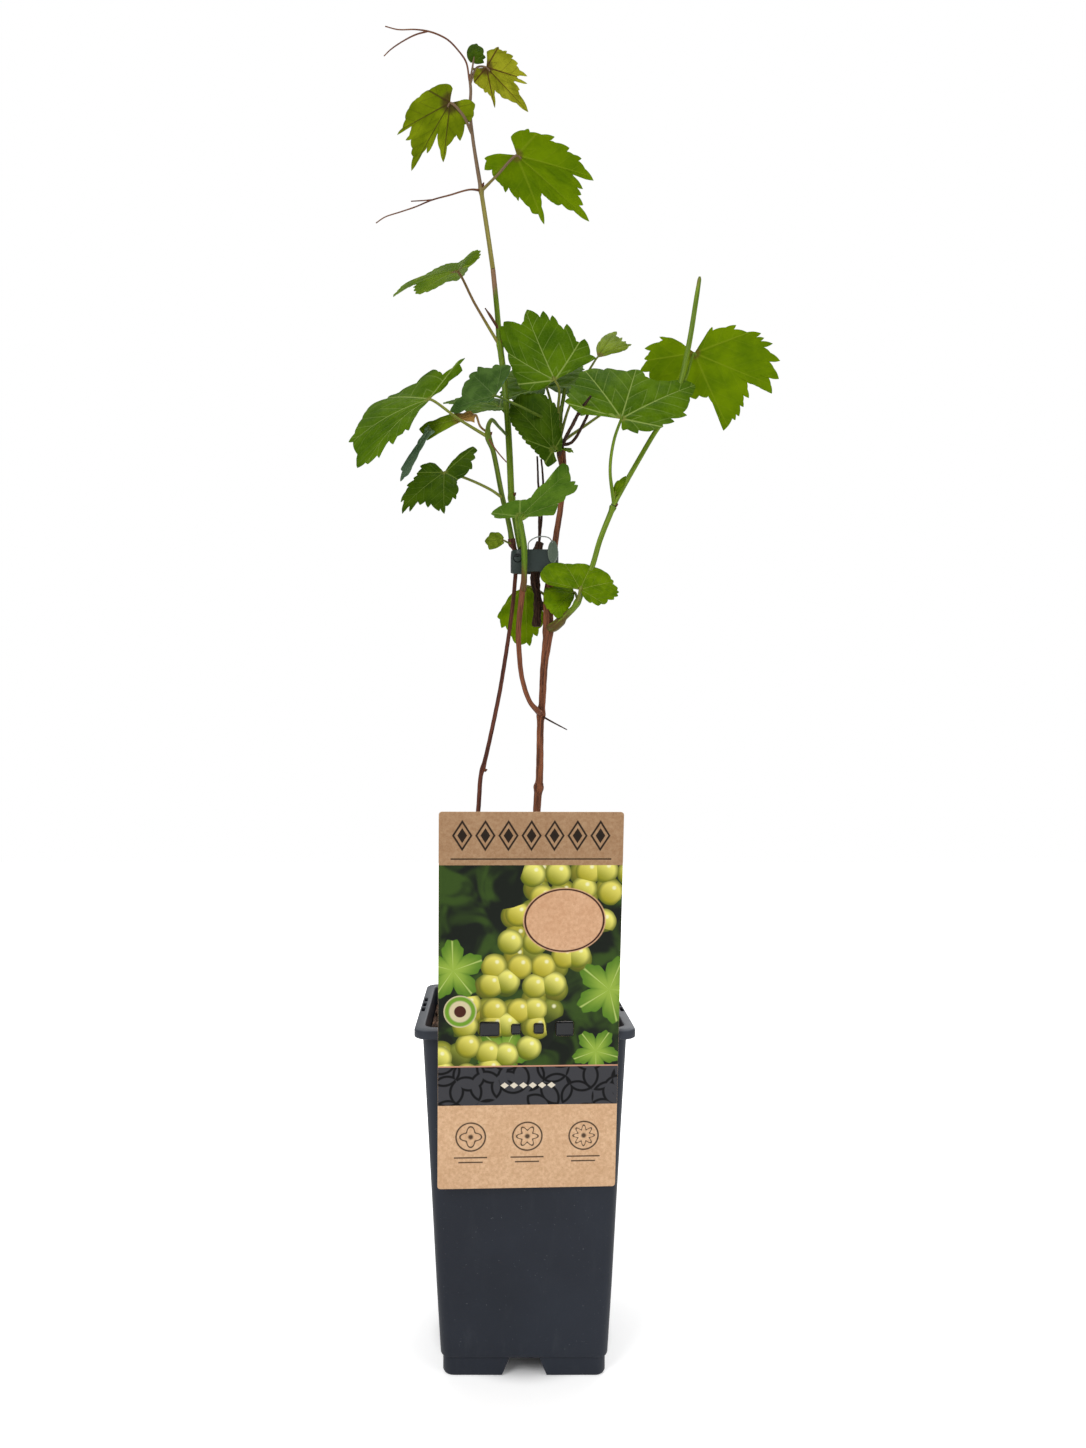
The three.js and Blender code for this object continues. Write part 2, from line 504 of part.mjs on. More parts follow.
const tipTendril = [
  [[-28.6, -0.4, 682.5, 0.55], [-30.4, -1, 692.2, 0.5], [-34.8, -2, 698, 0.45],
    [-40.1, -3, 702.7, 0.45], [-46.1, -4, 705.2, 0.45], [-51.4, -5, 706.1, 0.45],
    [-57.8, -6, 706.2, 0.35], [-66.9, -7, 705.4, 0.32], [-73.8, -8, 706.4, 0.3]],
  [[-50.8, -5, 706, 0.42], [-57.8, -7, 702.5, 0.4], [-65.7, -9, 696.7, 0.36],
    [-70.9, -10, 692.2, 0.33], [-74, -11, 688.3, 0.3]],
];
const sideTendril = [
  [[-22.3, 4, 625.2, 0.7], [-28.3, 0, 623.3, 0.5], [-39, -5, 617.4, 0.45],
    [-48.5, -9, 612.4, 0.42], [-57.4, -12, 606.9, 0.38], [-65.2, -14, 603.1, 0.35],
    [-73, -16, 599.3, 0.32], [-77.6, -17, 595.6, 0.3]],
  [[-47.9, -8.8, 612.7, 0.36], [-53.8, -10, 611.5, 0.33], [-59.5, -12, 610, 0.3]],
];
const nodeTendril = [
  [-18.3, -18, 482.2, 0.5], [-16.6, -20, 478, 0.42], [-12, -19.4, 472, 0.36],
  [-8.6, -16, 469.4, 0.32],
];
const deadTendril = [
  [10.7, 4, 336.6, 0.5], [16, -3, 333, 0.4], [20, -5.6, 330.4, 0.34], [23.3, -8, 327.3, 0.3],
];
const crownTwigs = [
  [[20.6, 4, 485, 1.1], [21.4, 1, 500.2, 1.1], [23.6, 2, 515.2, 1.1]],
  [[20.6, 2, 487, 0.8], [30.3, -8, 498.4, 0.8], [37.5, -12, 507.4, 0.55]],
  [[20.9, 4.4, 485.4, 0.9], [27.2, 4.6, 486.6, 0.85], [36, 4, 501.1, 0.8], [38.9, 5, 510.3, 0.6]],
];

// The pieces, each cut back from the room that its neighbours need

const solids = {};
const thin = { sides: 5 };
const stalk = (name) => stem(stalks[name], thin);
const blade = (name) => leaf(leaves[name]);
const leafOn = (...names) => names.flatMap((name) => [stalk(name), blade(name)]);
const thinStems = (list) => list.map((stations) => stem(stations, { sides: 5, steps: 1 }));

function potSolid() {
  const lipBottom = POT_HEIGHT - LIP_HEIGHT;
  const outer = skin([
    roundedSquare(FOOT_HALF - 1.4, CORNER.foot - 1, 0),
    roundedSquare(FOOT_HALF, CORNER.foot, 1.6),
    roundedSquare(FOOT_HALF, CORNER.foot, FOOT_HEIGHT),
    roundedSquare(BODY_BOTTOM_HALF, CORNER.body, FOOT_HEIGHT + 0.8),
    roundedSquare(BODY_TOP_HALF, CORNER.body, lipBottom),
    roundedSquare(RIM_HALF, CORNER.rim, lipBottom + 0.4),
    roundedSquare(RIM_HALF, CORNER.rim, POT_HEIGHT - 1.4),
    roundedSquare(RIM_HALF - 0.5, CORNER.rim - 0.4, POT_HEIGHT - 0.4),
    roundedSquare(RIM_HALF - 1.4, CORNER.rim - 1, POT_HEIGHT),
  ]);
  const inner = skin([
    roundedSquare(BODY_BOTTOM_HALF - WALL, CORNER.inside, FLOOR_TOP),
    roundedSquare(BODY_TOP_HALF - WALL, CORNER.inside, POT_HEIGHT + 1),
  ]);
  const tools = [solidOf(inner)];
  const arch = (y) =>
    [
      [FOOT_ARCH.bottom + 0.4, -1],
      [FOOT_ARCH.top, FOOT_HEIGHT],
      [-FOOT_ARCH.top, FOOT_HEIGHT],
      [-FOOT_ARCH.bottom - 0.4, -1],
    ].map(([x, z]) => new THREE.Vector3(x, y, z));
  for (let quarter = 0; quarter < 4; quarter++) {
    const channel = skin([arch(FOOT_HALF + 5), arch(FOOT_ARCH.reach)]);
    tools.push(solidOf(channel.rotateZ((quarter * Math.PI) / 2)));
    const { radius, from } = DRAIN_HOLE;
    const hole = new THREE.CylinderGeometry(radius, radius, 8, 12).rotateX(Math.PI / 2);
    hole.translate(0, from, FLOOR_TOP);
    tools.push(solidOf(hole.rotateZ((quarter * Math.PI) / 2)));
  }
  const slotX = RIM_SLOT.from + RIM_SLOT.width / 2;
  for (const side of [-1, 1]) {
    for (const place of [-1, 0, 1]) {
      tools.push(
        box([RIM_SLOT.width, RIM_SLOT.length, 12], [
          side * slotX,
          place * RIM_SLOT.pitch,
          POT_HEIGHT - LIP_HEIGHT / 2,
        ]),
      );
    }
  }
  return cut(solidOf(outer), tools);
}

function soilSolid() {
  const random = seeded(7);
  const half = (z) => {
    const part = (z - FLOOR_TOP) / (POT_HEIGHT + 1 - FLOOR_TOP);
    return THREE.MathUtils.lerp(BODY_BOTTOM_HALF, BODY_TOP_HALF, part) - WALL - GAP;
  };
  const top = [1, 0.82, 0.6, 0.36].map((size, k) => {
    const ring = roundedSquare(half(SOIL_HEIGHT) * size, CORNER.inside - GAP, SOIL_HEIGHT, 3);
    if (k > 0) ring.forEach((p) => (p.z += SOIL_LUMP * (random() - 0.4)));
    return ring;
  });
  const floor = roundedSquare(half(FLOOR_TOP), CORNER.inside - GAP, FLOOR_TOP + GAP, 3);
  return solidOf(skin([floor, ...top]));
}

function cardGeometry() {
  const { width, height, thick, corner } = CARD;
  const half = width / 2;
  const shape = new THREE.Shape();
  shape.moveTo(-half + corner, 0);
  shape.lineTo(half - corner, 0);
  shape.quadraticCurveTo(half, 0, half, corner);
  shape.lineTo(half, height - corner);
  shape.quadraticCurveTo(half, height, half - corner, height);
  shape.lineTo(-half + corner, height);
  shape.quadraticCurveTo(-half, height, -half, height - corner);
  shape.lineTo(-half, corner);
  shape.quadraticCurveTo(-half, 0, -half + corner, 0);
  const openings = [
    [[-24, 85.4], [-14.3, 85.4], [-14.6, 78.4], [-16.6, 80.6], [-19, 80], [-21.2, 79.4],
      [-21.4, 77.6], [-24, 77.9]],
    [[-8.7, 78.8], [-8.6, 83], [-7.6, 84.1], [-5.1, 84.2], [-4, 82.9], [-4.1, 78.7]],
    [[2.3, 79], [2.4, 83.2], [3.4, 84.4], [6.1, 84.5], [7.2, 83.3], [7.3, 79.1]],
    [[13.1, 85.2], [21.9, 85.1], [21.9, 77.7], [19, 78], [18.2, 80.2], [15.6, 80.6],
      [14.4, 79], [13.1, 79.2]],
  ];
  for (const corners of openings) {
    shape.holes.push(new THREE.Path(corners.map(([x, y]) => new THREE.Vector2(x, y))));
  }
  const sheet = new THREE.ExtrudeGeometry(shape, {
    depth: thick,
    bevelEnabled: false,
    curveSegments: 3,
  });
  // Stood up with its back on y = 0 and its print towards -Y.
  return sheet.rotateX(Math.PI / 2);
}

function clipSolid() {
  const { halfX, halfY, wall, height } = CLIP;
  const outline = (inset) => {
    const [a, b, r] = [halfX - inset, halfY - inset, 4 - inset];
    const path = new THREE.Shape();
    path.absarc(a - r, b - r, r, 0, Math.PI / 2);
    path.absarc(r - a, b - r, r, Math.PI / 2, Math.PI);
    path.absarc(r - a, r - b, r, Math.PI, 1.5 * Math.PI);
    path.absarc(a - r, r - b, r, 1.5 * Math.PI, 2 * Math.PI);
    return path;
  };
  const ring = outline(0);
  ring.holes.push(outline(wall));
  const band = new THREE.ExtrudeGeometry(ring, {
    depth: height,
    bevelEnabled: false,
    curveSegments: 4,
  });
  const tab = new THREE.Shape();
  tab.moveTo(0, -5.6);
  tab.quadraticCurveTo(2.9, -4.6, 2.7, 0.4);
  tab.quadraticCurveTo(2.2, 4.2, -0.4, 6.6);
  tab.quadraticCurveTo(-2.8, 4, -2.6, 0);
  tab.quadraticCurveTo(-2.6, -4.6, 0, -5.6);
  const lever = new THREE.ExtrudeGeometry(tab, {
    depth: 1.3,
    bevelEnabled: false,
    curveSegments: 4,
  });
  lever.rotateX(Math.PI / 2).translate(CLIP.leverX, -halfY + 0.5, 10);
  const face = -halfY - 0.1;
  const cheek = new THREE.CylinderGeometry(3.1, 3.1, wall, 14).translate(CLIP.hingeX, face, 7);
  const hinge = new THREE.CylinderGeometry(0.9, 0.9, 1, 8).translate(CLIP.hingeX, face - 0.8, 7);
  const foot = new THREE.BoxGeometry(5.4, wall, 9).translate(CLIP.hingeX, face, 3.2);
  return join([band, lever, cheek, hinge, foot].map(solidOf));
}

const rooms = {
  main: roomFor(mainCane, { sides: 8 }),
  left: roomFor(leftCane),
  side: roomFor(sideCane),
  leader: roomFor(leaderStem),
  leftShoot: roomFor(leftShoot),
  rightShoot: roomFor(rightShoot),
};

solids.main_cane = stem(mainCane, { sides: 8 });
solids.left_cane = stem(leftCane);
solids.side_cane = cut(stem(sideCane), [rooms.main]);
solids.old_stub = cut(join([stem(oldStub), ...thinStems(oldTwigs)]), [rooms.main]);
solids.leader_stem = cut(join([stem(leaderStem), stem(leaderBract, thin)]), [rooms.side]);
solids.left_shoot = cut(stem(leftShoot), [rooms.leader, rooms.left]);
solids.right_shoot = cut(stem(rightShoot), [rooms.main]);

// Foliage: each mass is one stalk or stem with its leaves sunk onto it.
const foliage = {
  top_foliage: [
    stem(leaderTop, { sides: 6 }),
    ...thinStems(tipTendril),
    ...thinStems(sideTendril),
    ...leafOn("tipBud", "tipLeaf", "secondLeaf", "thirdLeaf"),
  ],
  upper_leaf: leafOn("fourthLeaf"),
  crown_foliage: [
    stem(crownHub, { sides: 6 }),
    ...thinStems(crownTwigs),
    ...leafOn("crownLeaf", "crownBud", "greyLeaf", "heartLeaf", "rearCrownLeaf", "rearRightLeaf"),
  ],
  left_leaf: leafOn("leftLeaf"),
  hanging_leaf: [...leafOn("hangingLeaf"), blade("hangingTip")],
  node_tendril: [stem(nodeTendril, thin)],
  low_left_leaf: leafOn("lowLeftLeaf"),
  clip_leaf: leafOn("clipBud"),
  front_leaf: leafOn("frontLeaf"),
  right_foliage: [stem(rightShootTop), ...leafOn("rightLeaf", "farRightLeaf", "shootBud")],
  low_right_leaf: leafOn("capLeaf"),
  node_leaf: leafOn("nodeLeaf"),
  back_leaf: leafOn("backLeaf"),
  rear_left_leaf: leafOn("rearLeftLeaf"),
  dead_tendril: [stem(deadTendril, thin)],
};
for (const [name, parts] of Object.entries(foliage)) {
  solids[name] = cut(join(parts), Object.values(rooms));
}

solids.pot = potSolid();
solids.soil = cut(soilSolid(), [rooms.main, rooms.left]);

// The scene

const surfaces = {
  pot: [colours.pot, 0.55],
  soil: [colours.soil, 0.95],
  card: [colours.card, 0.8],
  clip: [colours.clip, 0.5],
  wood: [colours.wood, 0.7],
  deadWood: [colours.deadWood, 0.85],
  stem: [colours.stem, 0.5],
  leaf: [colours.leaf, 0.55],
  youngLeaf: [colours.youngLeaf, 0.55],
};

function material(name) {
  const [color, roughness] = surfaces[name];
  return new THREE.MeshStandardMaterial({ color, roughness, metalness: 0 });
}

function meshOf(name, geometry, surface) {
  const mesh = new THREE.Mesh(geometry, material(surface));
  mesh.name = name;
  return mesh;
}

const surfaceOf = {
  pot: "pot",
  soil: "soil",
  main_cane: "wood",
  left_cane: "wood",
  side_cane: "wood",
  old_stub: "deadWood",
  dead_tendril: "deadWood",
  leader_stem: "stem",
  left_shoot: "stem",
  right_shoot: "stem",
  top_foliage: "youngLeaf",
  upper_leaf: "leaf",
  crown_foliage: "leaf",
  left_leaf: "leaf",
  hanging_leaf: "leaf",
  node_tendril: "stem",
  low_left_leaf: "leaf",
  clip_leaf: "youngLeaf",
  front_leaf: "leaf",
  right_foliage: "leaf",
  low_right_leaf: "youngLeaf",
  node_leaf: "youngLeaf",
  back_leaf: "youngLeaf",
  rear_left_leaf: "leaf",
};

const container = new THREE.Group();
const plant = new THREE.Group();
for (const [name, solid] of Object.entries(solids)) {
  const home = name === "pot" || name === "soil" ? container : plant;
  home.add(meshOf(name, geometryOf(largest(solid)), surfaceOf[name]));
}

// The card leans on the lip and on the wall below it.
const card = meshOf("label_card", cardGeometry(), "card");
card.rotation.set(toRadians(CARD_LEAN), toRadians(CARD_ROLL), 0);
const hanger = new THREE.Group();
hanger.position.set(...CARD_BOTTOM);
hanger.rotation.z = toRadians(CARD_YAW);
hanger.add(card);
container.add(hanger);

const clip = meshOf("tie_clip", geometryOf(clipSolid()), "clip");
clip.position.set(CLIP.x, CLIP.y, CLIP.z);
plant.add(clip);

const grapevine = new THREE.Group();
grapevine.name = "grapevine";
grapevine.add(container, plant);

export default grapevine;
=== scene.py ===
import math

import bmesh
import bpy
import numpy as np
from mathutils import Matrix, Vector


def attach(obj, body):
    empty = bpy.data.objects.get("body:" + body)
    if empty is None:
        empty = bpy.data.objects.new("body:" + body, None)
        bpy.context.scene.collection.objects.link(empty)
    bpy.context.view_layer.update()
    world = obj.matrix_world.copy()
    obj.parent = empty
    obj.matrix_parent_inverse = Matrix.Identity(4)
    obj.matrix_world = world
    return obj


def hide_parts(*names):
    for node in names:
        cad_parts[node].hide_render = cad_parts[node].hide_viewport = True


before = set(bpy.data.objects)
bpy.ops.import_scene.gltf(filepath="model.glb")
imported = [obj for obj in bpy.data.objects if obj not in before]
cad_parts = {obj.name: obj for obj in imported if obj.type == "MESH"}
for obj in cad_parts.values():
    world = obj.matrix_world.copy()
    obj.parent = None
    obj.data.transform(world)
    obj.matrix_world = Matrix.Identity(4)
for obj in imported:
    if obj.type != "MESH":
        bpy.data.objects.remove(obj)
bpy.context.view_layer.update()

# A young grapevine in a tall square nursery pot: bark, green shoots, toothed leaves, tendrils,
# the clip that gathers the canes, and the printed card on the rim.
# Plan sizes are in millimetres and become metres in the meshes.

BODY = "root"
MM = 0.001

# Sizes that the pieces share, as the solids have them
POT_HEIGHT = 178.5
RIM_HALF = 55
BODY_TOP_HALF = 51
BODY_BOTTOM_HALF = 42.4
FOOT_HALF = 41.2
FOOT_HEIGHT = 9.8
LIP_HEIGHT = 5.3
WALL = 1.3
FLOOR_TOP = 12
POT_CORNER = 6
SOIL_HEIGHT = 168
ROOTED = 16
CARD = {"width": 88.3, "height": 188.2, "thick": 0.7, "corner": 1.5}
CARD_BOTTOM = (0.8, -49.7, 99)
CARD_LEAN, CARD_YAW, CARD_ROLL = 6.5, 3, 0.2
CLIP = {"x": 6.8, "y": 0, "z": 412.4, "half_x": 12.8, "half_y": 12, "wall": 1.2, "height": 11.8,
        "lever_x": 9.4, "hinge_x": -9.4, "corner": 5, "rear_rise": 3.2, "edge": 0.25}


# Shader nodes. Colours are screen colours of 0 to 255 a channel, or linear with a fourth number.

def linear(colour):
    """A colour as the linear one that shaders take."""
    if not isinstance(colour, tuple) or len(colour) == 4:
        return colour
    shares = [channel / 255 for channel in colour]
    return (*(s / 12.92 if s <= 0.04045 else ((s + 0.055) / 1.055) ** 2.4 for s in shares), 1)


def maths(operation, swapped=False):
    """A method of Field that adds one Math node."""
    def method(self, *other):
        return calc(operation, *((*other, self) if swapped else (self, *other)))
    return method


class Field:
    """A node's output. Reckoning with it adds Math nodes."""

    def __init__(self, socket):
        self.socket = socket
        self.tree = socket.id_data

    __add__ = maths("ADD")
    __sub__ = maths("SUBTRACT")
    __rsub__ = maths("SUBTRACT", swapped=True)
    __mul__ = maths("MULTIPLY")
    __truediv__ = maths("DIVIDE")
    __abs__ = maths("ABSOLUTE")
    __lt__ = maths("LESS_THAN")
    __gt__ = maths("GREATER_THAN")


def tree_of(values):
    return next(value.tree for value in values if isinstance(value, Field))


def feed(inputs, values):
    """Gives inputs, by name or number, a plain value or another node's output."""
    for name, value in values.items():
        if isinstance(value, Field):
            value.tree.links.new(value.socket, inputs[name])
        else:
            inputs[name].default_value = value


def add_node(tree, kind, sockets=None, **settings):
    made = tree.nodes.new("ShaderNode" + kind)
    for name, value in settings.items():
        setattr(made, name, value)
    feed(made.inputs, sockets or {})
    return made


def put(tree, kind, sockets=None, which=0, **settings):
    """Adds a node and returns one of its outputs, by name or number."""
    return Field(add_node(tree, kind, sockets, **settings).outputs[which])


def calc(operation, *values):
    return put(tree_of(values), "Math", dict(enumerate(values)), operation=operation)


def fade(value, start, end, low=0.0, high=1.0):
    """Low where value is start, high where it is end, with a soft step between."""
    sockets = {"Value": value, "From Min": start, "From Max": end, "To Min": low, "To Max": high}
    return put(value.tree, "MapRange", sockets, interpolation_type="SMOOTHSTEP")


def blend(share, first, second, mode="MIX"):
    """Mixes two colours."""
    sockets = {0: share, 6: linear(first), 7: linear(second)}
    return put(tree_of(sockets.values()), "Mix", sockets, 2, data_type="RGBA", blend_type=mode)


def noise(vector, scale, detail=3.0, roughness=0.55, distortion=0.0):
    sockets = {"Vector": vector, "Scale": scale, "Detail": detail, "Roughness": roughness,
               "Distortion": distortion}
    return put(vector.tree, "TexNoise", sockets)


def stretch(vector, scale):
    """The vector with each axis scaled."""
    return put(vector.tree, "VectorMath", {0: vector, 1: scale}, operation="MULTIPLY")


def length_of(vector):
    return put(vector.tree, "VectorMath", {0: vector}, "Value", operation="LENGTH")


def pair(across, up):
    return put(across.tree, "CombineXYZ", {0: across, 1: up})


def split(vector):
    return [Field(part) for part in add_node(vector.tree, "SeparateXYZ", {0: vector}).outputs]


def new_group(name, inputs, outputs):
    """An empty node group. Returns its tree, what it is given, by name, and the sockets it puts out."""
    tree = bpy.data.node_groups.new(name, "ShaderNodeTree")
    for label, kind in inputs.items():
        tree.interface.new_socket(label, in_out="INPUT", socket_type="NodeSocket" + kind)
    for label in outputs:
        tree.interface.new_socket(label, in_out="OUTPUT", socket_type="NodeSocketFloat")
    given = tree.nodes.new("NodeGroupInput").outputs
    return tree, {label: Field(given[label]) for label in inputs}, tree.nodes.new("NodeGroupOutput").inputs


def use_group(group, sockets):
    """Places a node group and returns what it puts out, by name."""
    made = add_node(tree_of(sockets.values()), "Group", node_tree=group)
    feed(made.inputs, sockets)
    return {output.name: Field(output) for output in made.outputs}


# Leaf places: u runs from the stalk to the tip and w across, where 1 is the farthest reach of the
# blade. The main veins of every blade lie at these angles there, whatever way the real lobes point.
VEIN_ANGLES = (0, 48, 100)
VEIN_FAN = (-100, -48, 0, 48, 100)
VEIN_SPACING = 0.17
VEIN_SHIFT = 0.06
VEIN_BEND = (1.15, 0.7)


def vein_group():
    """Main veins, side veins, the fine net and the swell between them, from a place on the leaf."""
    tree, given, result = new_group("Leaf Veins", {"Place": "Vector"},
                                    ["Main", "Side", "Net", "Swell", "Reach"])
    u, w, _ = split(given["Place"])
    turn = calc("ARCTAN2", abs(w), u)
    off = [abs(turn - math.radians(angle)) for angle in VEIN_ANGLES]
    nearest = calc("MINIMUM", off[0], calc("MINIMUM", off[1], off[2]))
    reach = length_of(pair(u, w))
    along = reach * calc("COSINE", nearest)
    away = reach * calc("SINE", nearest)
    width = fade(along, 0.0, 1.1, 0.015, 0.003)
    row = along - away * (VEIN_BEND[0] - away * VEIN_BEND[1]) + (w > 0.0) * VEIN_SHIFT
    gap = abs(calc("FRACT", row / VEIN_SPACING) - 0.5)
    cells = put(tree, "TexVoronoi", {"Vector": given["Place"], "Scale": 24.0}, "Distance",
                feature="DISTANCE_TO_EDGE")
    feed(result, {
        "Main": fade(away, width, width * 0.35),
        "Side": fade(gap, 0.055, 0.02) * fade(away, 0.42, 0.05),
        "Net": fade(cells, 0.09, 0.0),
        "Swell": fade(gap, 0.02, 0.5),
        "Reach": reach,
    })
    return tree


def streak_group():
    """Long streaks and small specks on a stem, from its grain: place round the stem and along it."""
    tree, given, result = new_group("Stem Streaks", {"Grain": "Vector", "Fineness": "Float"},
                                    ["Streak", "Fibre", "Speck"])
    long_way = stretch(given["Grain"], (1.0, 1.0, 0.05))
    feed(result, {
        "Streak": noise(long_way, given["Fineness"], 4.0),
        "Fibre": noise(long_way, given["Fineness"] * 5.0, 5.0, 0.7),
        "Speck": fade(noise(stretch(given["Grain"], (1.0, 1.0, 0.5)), 3.0), 0.62, 0.7),
    })
    return tree


PEBBLE_SIZE = 0.0011


def mould_group():
    """The fine unevenness of moulded plastic: a cloudy tone and a pebbled surface."""
    tree, given, result = new_group("Moulded Skin", {"Vector": "Vector"}, ["Cloud", "Pebble"])
    feed(result, {"Cloud": noise(given["Vector"], 14.0, 4.0),
                  "Pebble": noise(given["Vector"], 1 / PEBBLE_SIZE, 3.0, 0.6)})
    return tree


VEINS = vein_group()
STREAKS = streak_group()
MOULD = mould_group()


def new_material(name):
    """A bare material with its shader. Returns the material, its tree and the shader's inputs."""
    made = bpy.data.materials.new(name)
    made.use_nodes = True
    tree = made.node_tree
    tree.nodes.clear()
    shader = add_node(tree, "BsdfPrincipled")
    add_node(tree, "OutputMaterial", {"Surface": Field(shader.outputs[0])})
    return made, tree, shader.inputs


def bump(shader, height, distance, strength=1.0):
    sockets = {"Height": height, "Distance": distance, "Strength": strength}
    feed(shader, {"Normal": put(height.tree, "Bump", sockets)})


def leaf_material(name, look, joint, sunk, rough):
    """One side of a blade. look is its dark, light and vein colour and how strong the veins show.
    joint is the tint round the stalk and how far out it goes. sunk is 1 where the veins lie in
    furrows and -1 where they stand out."""
    deep, light, vein, strength = look
    tint, far = joint
    made, tree, shader = new_material(name)
    place = put(tree, "Attribute", None, "Vector", attribute_name="blade")
    marks = use_group(VEINS, {"Place": place})
    fine = noise(place, 34.0, 3.0, 0.6)
    tone = blend(fade(noise(place, 3.2), 0.3, 0.7), deep, light)
    # Painted light: the blade is lightened where it swells between the side veins, as if the bulges caught
    # the light
    tone = blend(marks["Swell"] * 0.14, tone, light)
    tone = blend(fade(fine, 0.35, 0.75, 0.0, 0.08), tone, deep)
    tone = blend(marks["Net"] * (0.12 * strength), tone, vein)
    tone = blend(marks["Side"] * (0.52 * strength), tone, vein)
    tone = blend(marks["Main"] * min(1.0, 1.3 * strength), tone, vein)
    tone = blend(fade(marks["Reach"], far, 0.5 * far, 0.0, 0.8), tone, tint)
    feed(shader, {"Base Color": tone, "Roughness": fade(fine, 0.3, 0.7, rough - 0.06, rough + 0.1),
                  "Specular IOR Level": 0.03})
    veins = marks["Side"] * 0.5 + marks["Main"]
    relief = fine * 0.03 - veins * (0.8 * sunk) - marks["Net"] * (0.04 * sunk)
    relief = relief + marks["Swell"] * (0.35 * sunk)
    bump(shader, relief, 0.00022 if sunk > 0 else 0.0001, 0.8)
    return made


def stem_material(name, deep, light, streak, rough, relief, fineness=1.1, zones=()):
    """Bark or green skin. zones are (low, high, colour) bands of height in metres that are tinted."""
    made, tree, shader = new_material(name)
    grain = put(tree, "Attribute", None, "Vector", attribute_name="grain")
    marks = use_group(STREAKS, {"Grain": grain, "Fineness": fineness})
    tone = blend(fade(marks["Streak"], 0.35, 0.66), deep, light)
    tone = blend(fade(marks["Fibre"], 0.48, 0.7, 0.0, 0.5), tone, streak)
    if zones:
        height = split(put(tree, "TexCoord", None, "Object"))[2] + (marks["Streak"] - 0.5) * 0.03
        for low, high, tint in zones:
            inside = fade(height, low - 0.006, low + 0.004) * fade(height, high + 0.006, high - 0.004)
            tone = blend(inside * 0.85, tone, tint)
    tone = blend(marks["Speck"] * 0.35, tone, deep)
    feed(shader, {"Base Color": tone, "Roughness": fade(marks["Fibre"], 0.3, 0.7, rough - 0.1, rough + 0.1),
                  "Specular IOR Level": 0.18})
    bump(shader, marks["Fibre"], relief)
    return made


# Moulded plastics: dark and light tone, and roughness
PLASTICS = {
    "pot_plastic": ((34, 38, 47), (41, 46, 56), 0.42),
    "peg_plastic": ((12, 14, 17), (20, 23, 28), 0.3),
    "clip_plastic": ((20, 32, 30), (40, 54, 50), 0.42),
    "hinge_plastic": ((12, 18, 18), (22, 30, 30), 0.5),
    "lever_plastic": ((66, 80, 64), (92, 106, 88), 0.4),
    "wire_coat": ((120, 124, 120), (160, 164, 158), 0.35),
}


def plastic_material(name, shine=0.5, overlay=None):
    """Moulded plastic with a cloudy tone and a pebbled skin. overlay lays its marks over the tone,
    which on the pot are dust, grit and a painted highlight on the lip.
    """
    deep, light, rough = PLASTICS[name]
    made, tree, shader = new_material(name)
    spot = put(tree, "TexCoord", None, "Object")
    marks = use_group(MOULD, {"Vector": spot})
    tone = blend(fade(marks["Cloud"], 0.3, 0.7), deep, light)
    feed(shader, {"Base Color": overlay(spot, tone) if overlay else tone, "Specular IOR Level": shine,
                  "Roughness": fade(marks["Cloud"], 0.3, 0.7, rough - 0.06, rough + 0.06)})
    bump(shader, marks["Pebble"], 0.00006)
    return made


# Painted highlights on the lip, lighter bands that stand for its glare: from and to how far under
# the top, in metres, and how strong
LIP_HIGHLIGHTS = ((0.0014, 0.0002, 0.6), (0.006, 0.005, 0.1))
DUSTY_HEIGHTS = (0.04, 0.004)
# The colours of the dust, of the lip's painted highlight and of the grit
DUST, LIP_HIGHLIGHT, GRIT = (128, 130, 132), (112, 116, 122), (112, 116, 120)
POT_SHINE = 0.22


def pot_dust_and_highlight(spot, tone):
    """Dust that is thickest at the pot's foot, painted highlights on the lip, and light grit."""
    height = split(spot)[2]
    wash = noise(stretch(spot, (1.0, 1.0, 0.3)), 120.0, 5.0, 0.7)
    dust = fade(wash, 0.5, 0.8) * fade(height, *DUSTY_HEIGHTS, 0.02, 0.08)
    tone = blend(dust, tone, DUST)
    top = POT_HEIGHT * MM
    # Painted highlight: the top ledge is lightened strongly and the whole lip faintly, standing for their
    # glare
    edge, lip_sheen = (fade(height, top - low, top - high, 0.0, share) for low, high, share in LIP_HIGHLIGHTS)
    tone = blend(edge + lip_sheen, tone, LIP_HIGHLIGHT)
    return blend(fade(noise(spot, 900.0, 2.0, 0.5), 0.7, 0.78, 0.0, 0.35), tone, GRIT)


SOIL_DEEP, SOIL_LIGHT, SOIL_FIBRE = (40, 27, 20), (108, 78, 57), (156, 118, 88)


def soil_material():
    made, tree, shader = new_material("potting_soil")
    spot = put(tree, "TexCoord", None, "Object")
    clods = noise(spot, 160.0, 6.0, 0.65)
    fibres = noise(stretch(spot, (1.0, 0.35, 1.0)), 420.0)
    tone = blend(fade(clods, 0.35, 0.68), SOIL_DEEP, SOIL_LIGHT)
    tone = blend(fade(fibres, 0.6, 0.7), tone, SOIL_FIBRE)
    feed(shader, {"Base Color": tone, "Roughness": fade(clods, 0.3, 0.7, 0.98, 0.8)})
    bump(shader, clods, 0.0012)
    return made


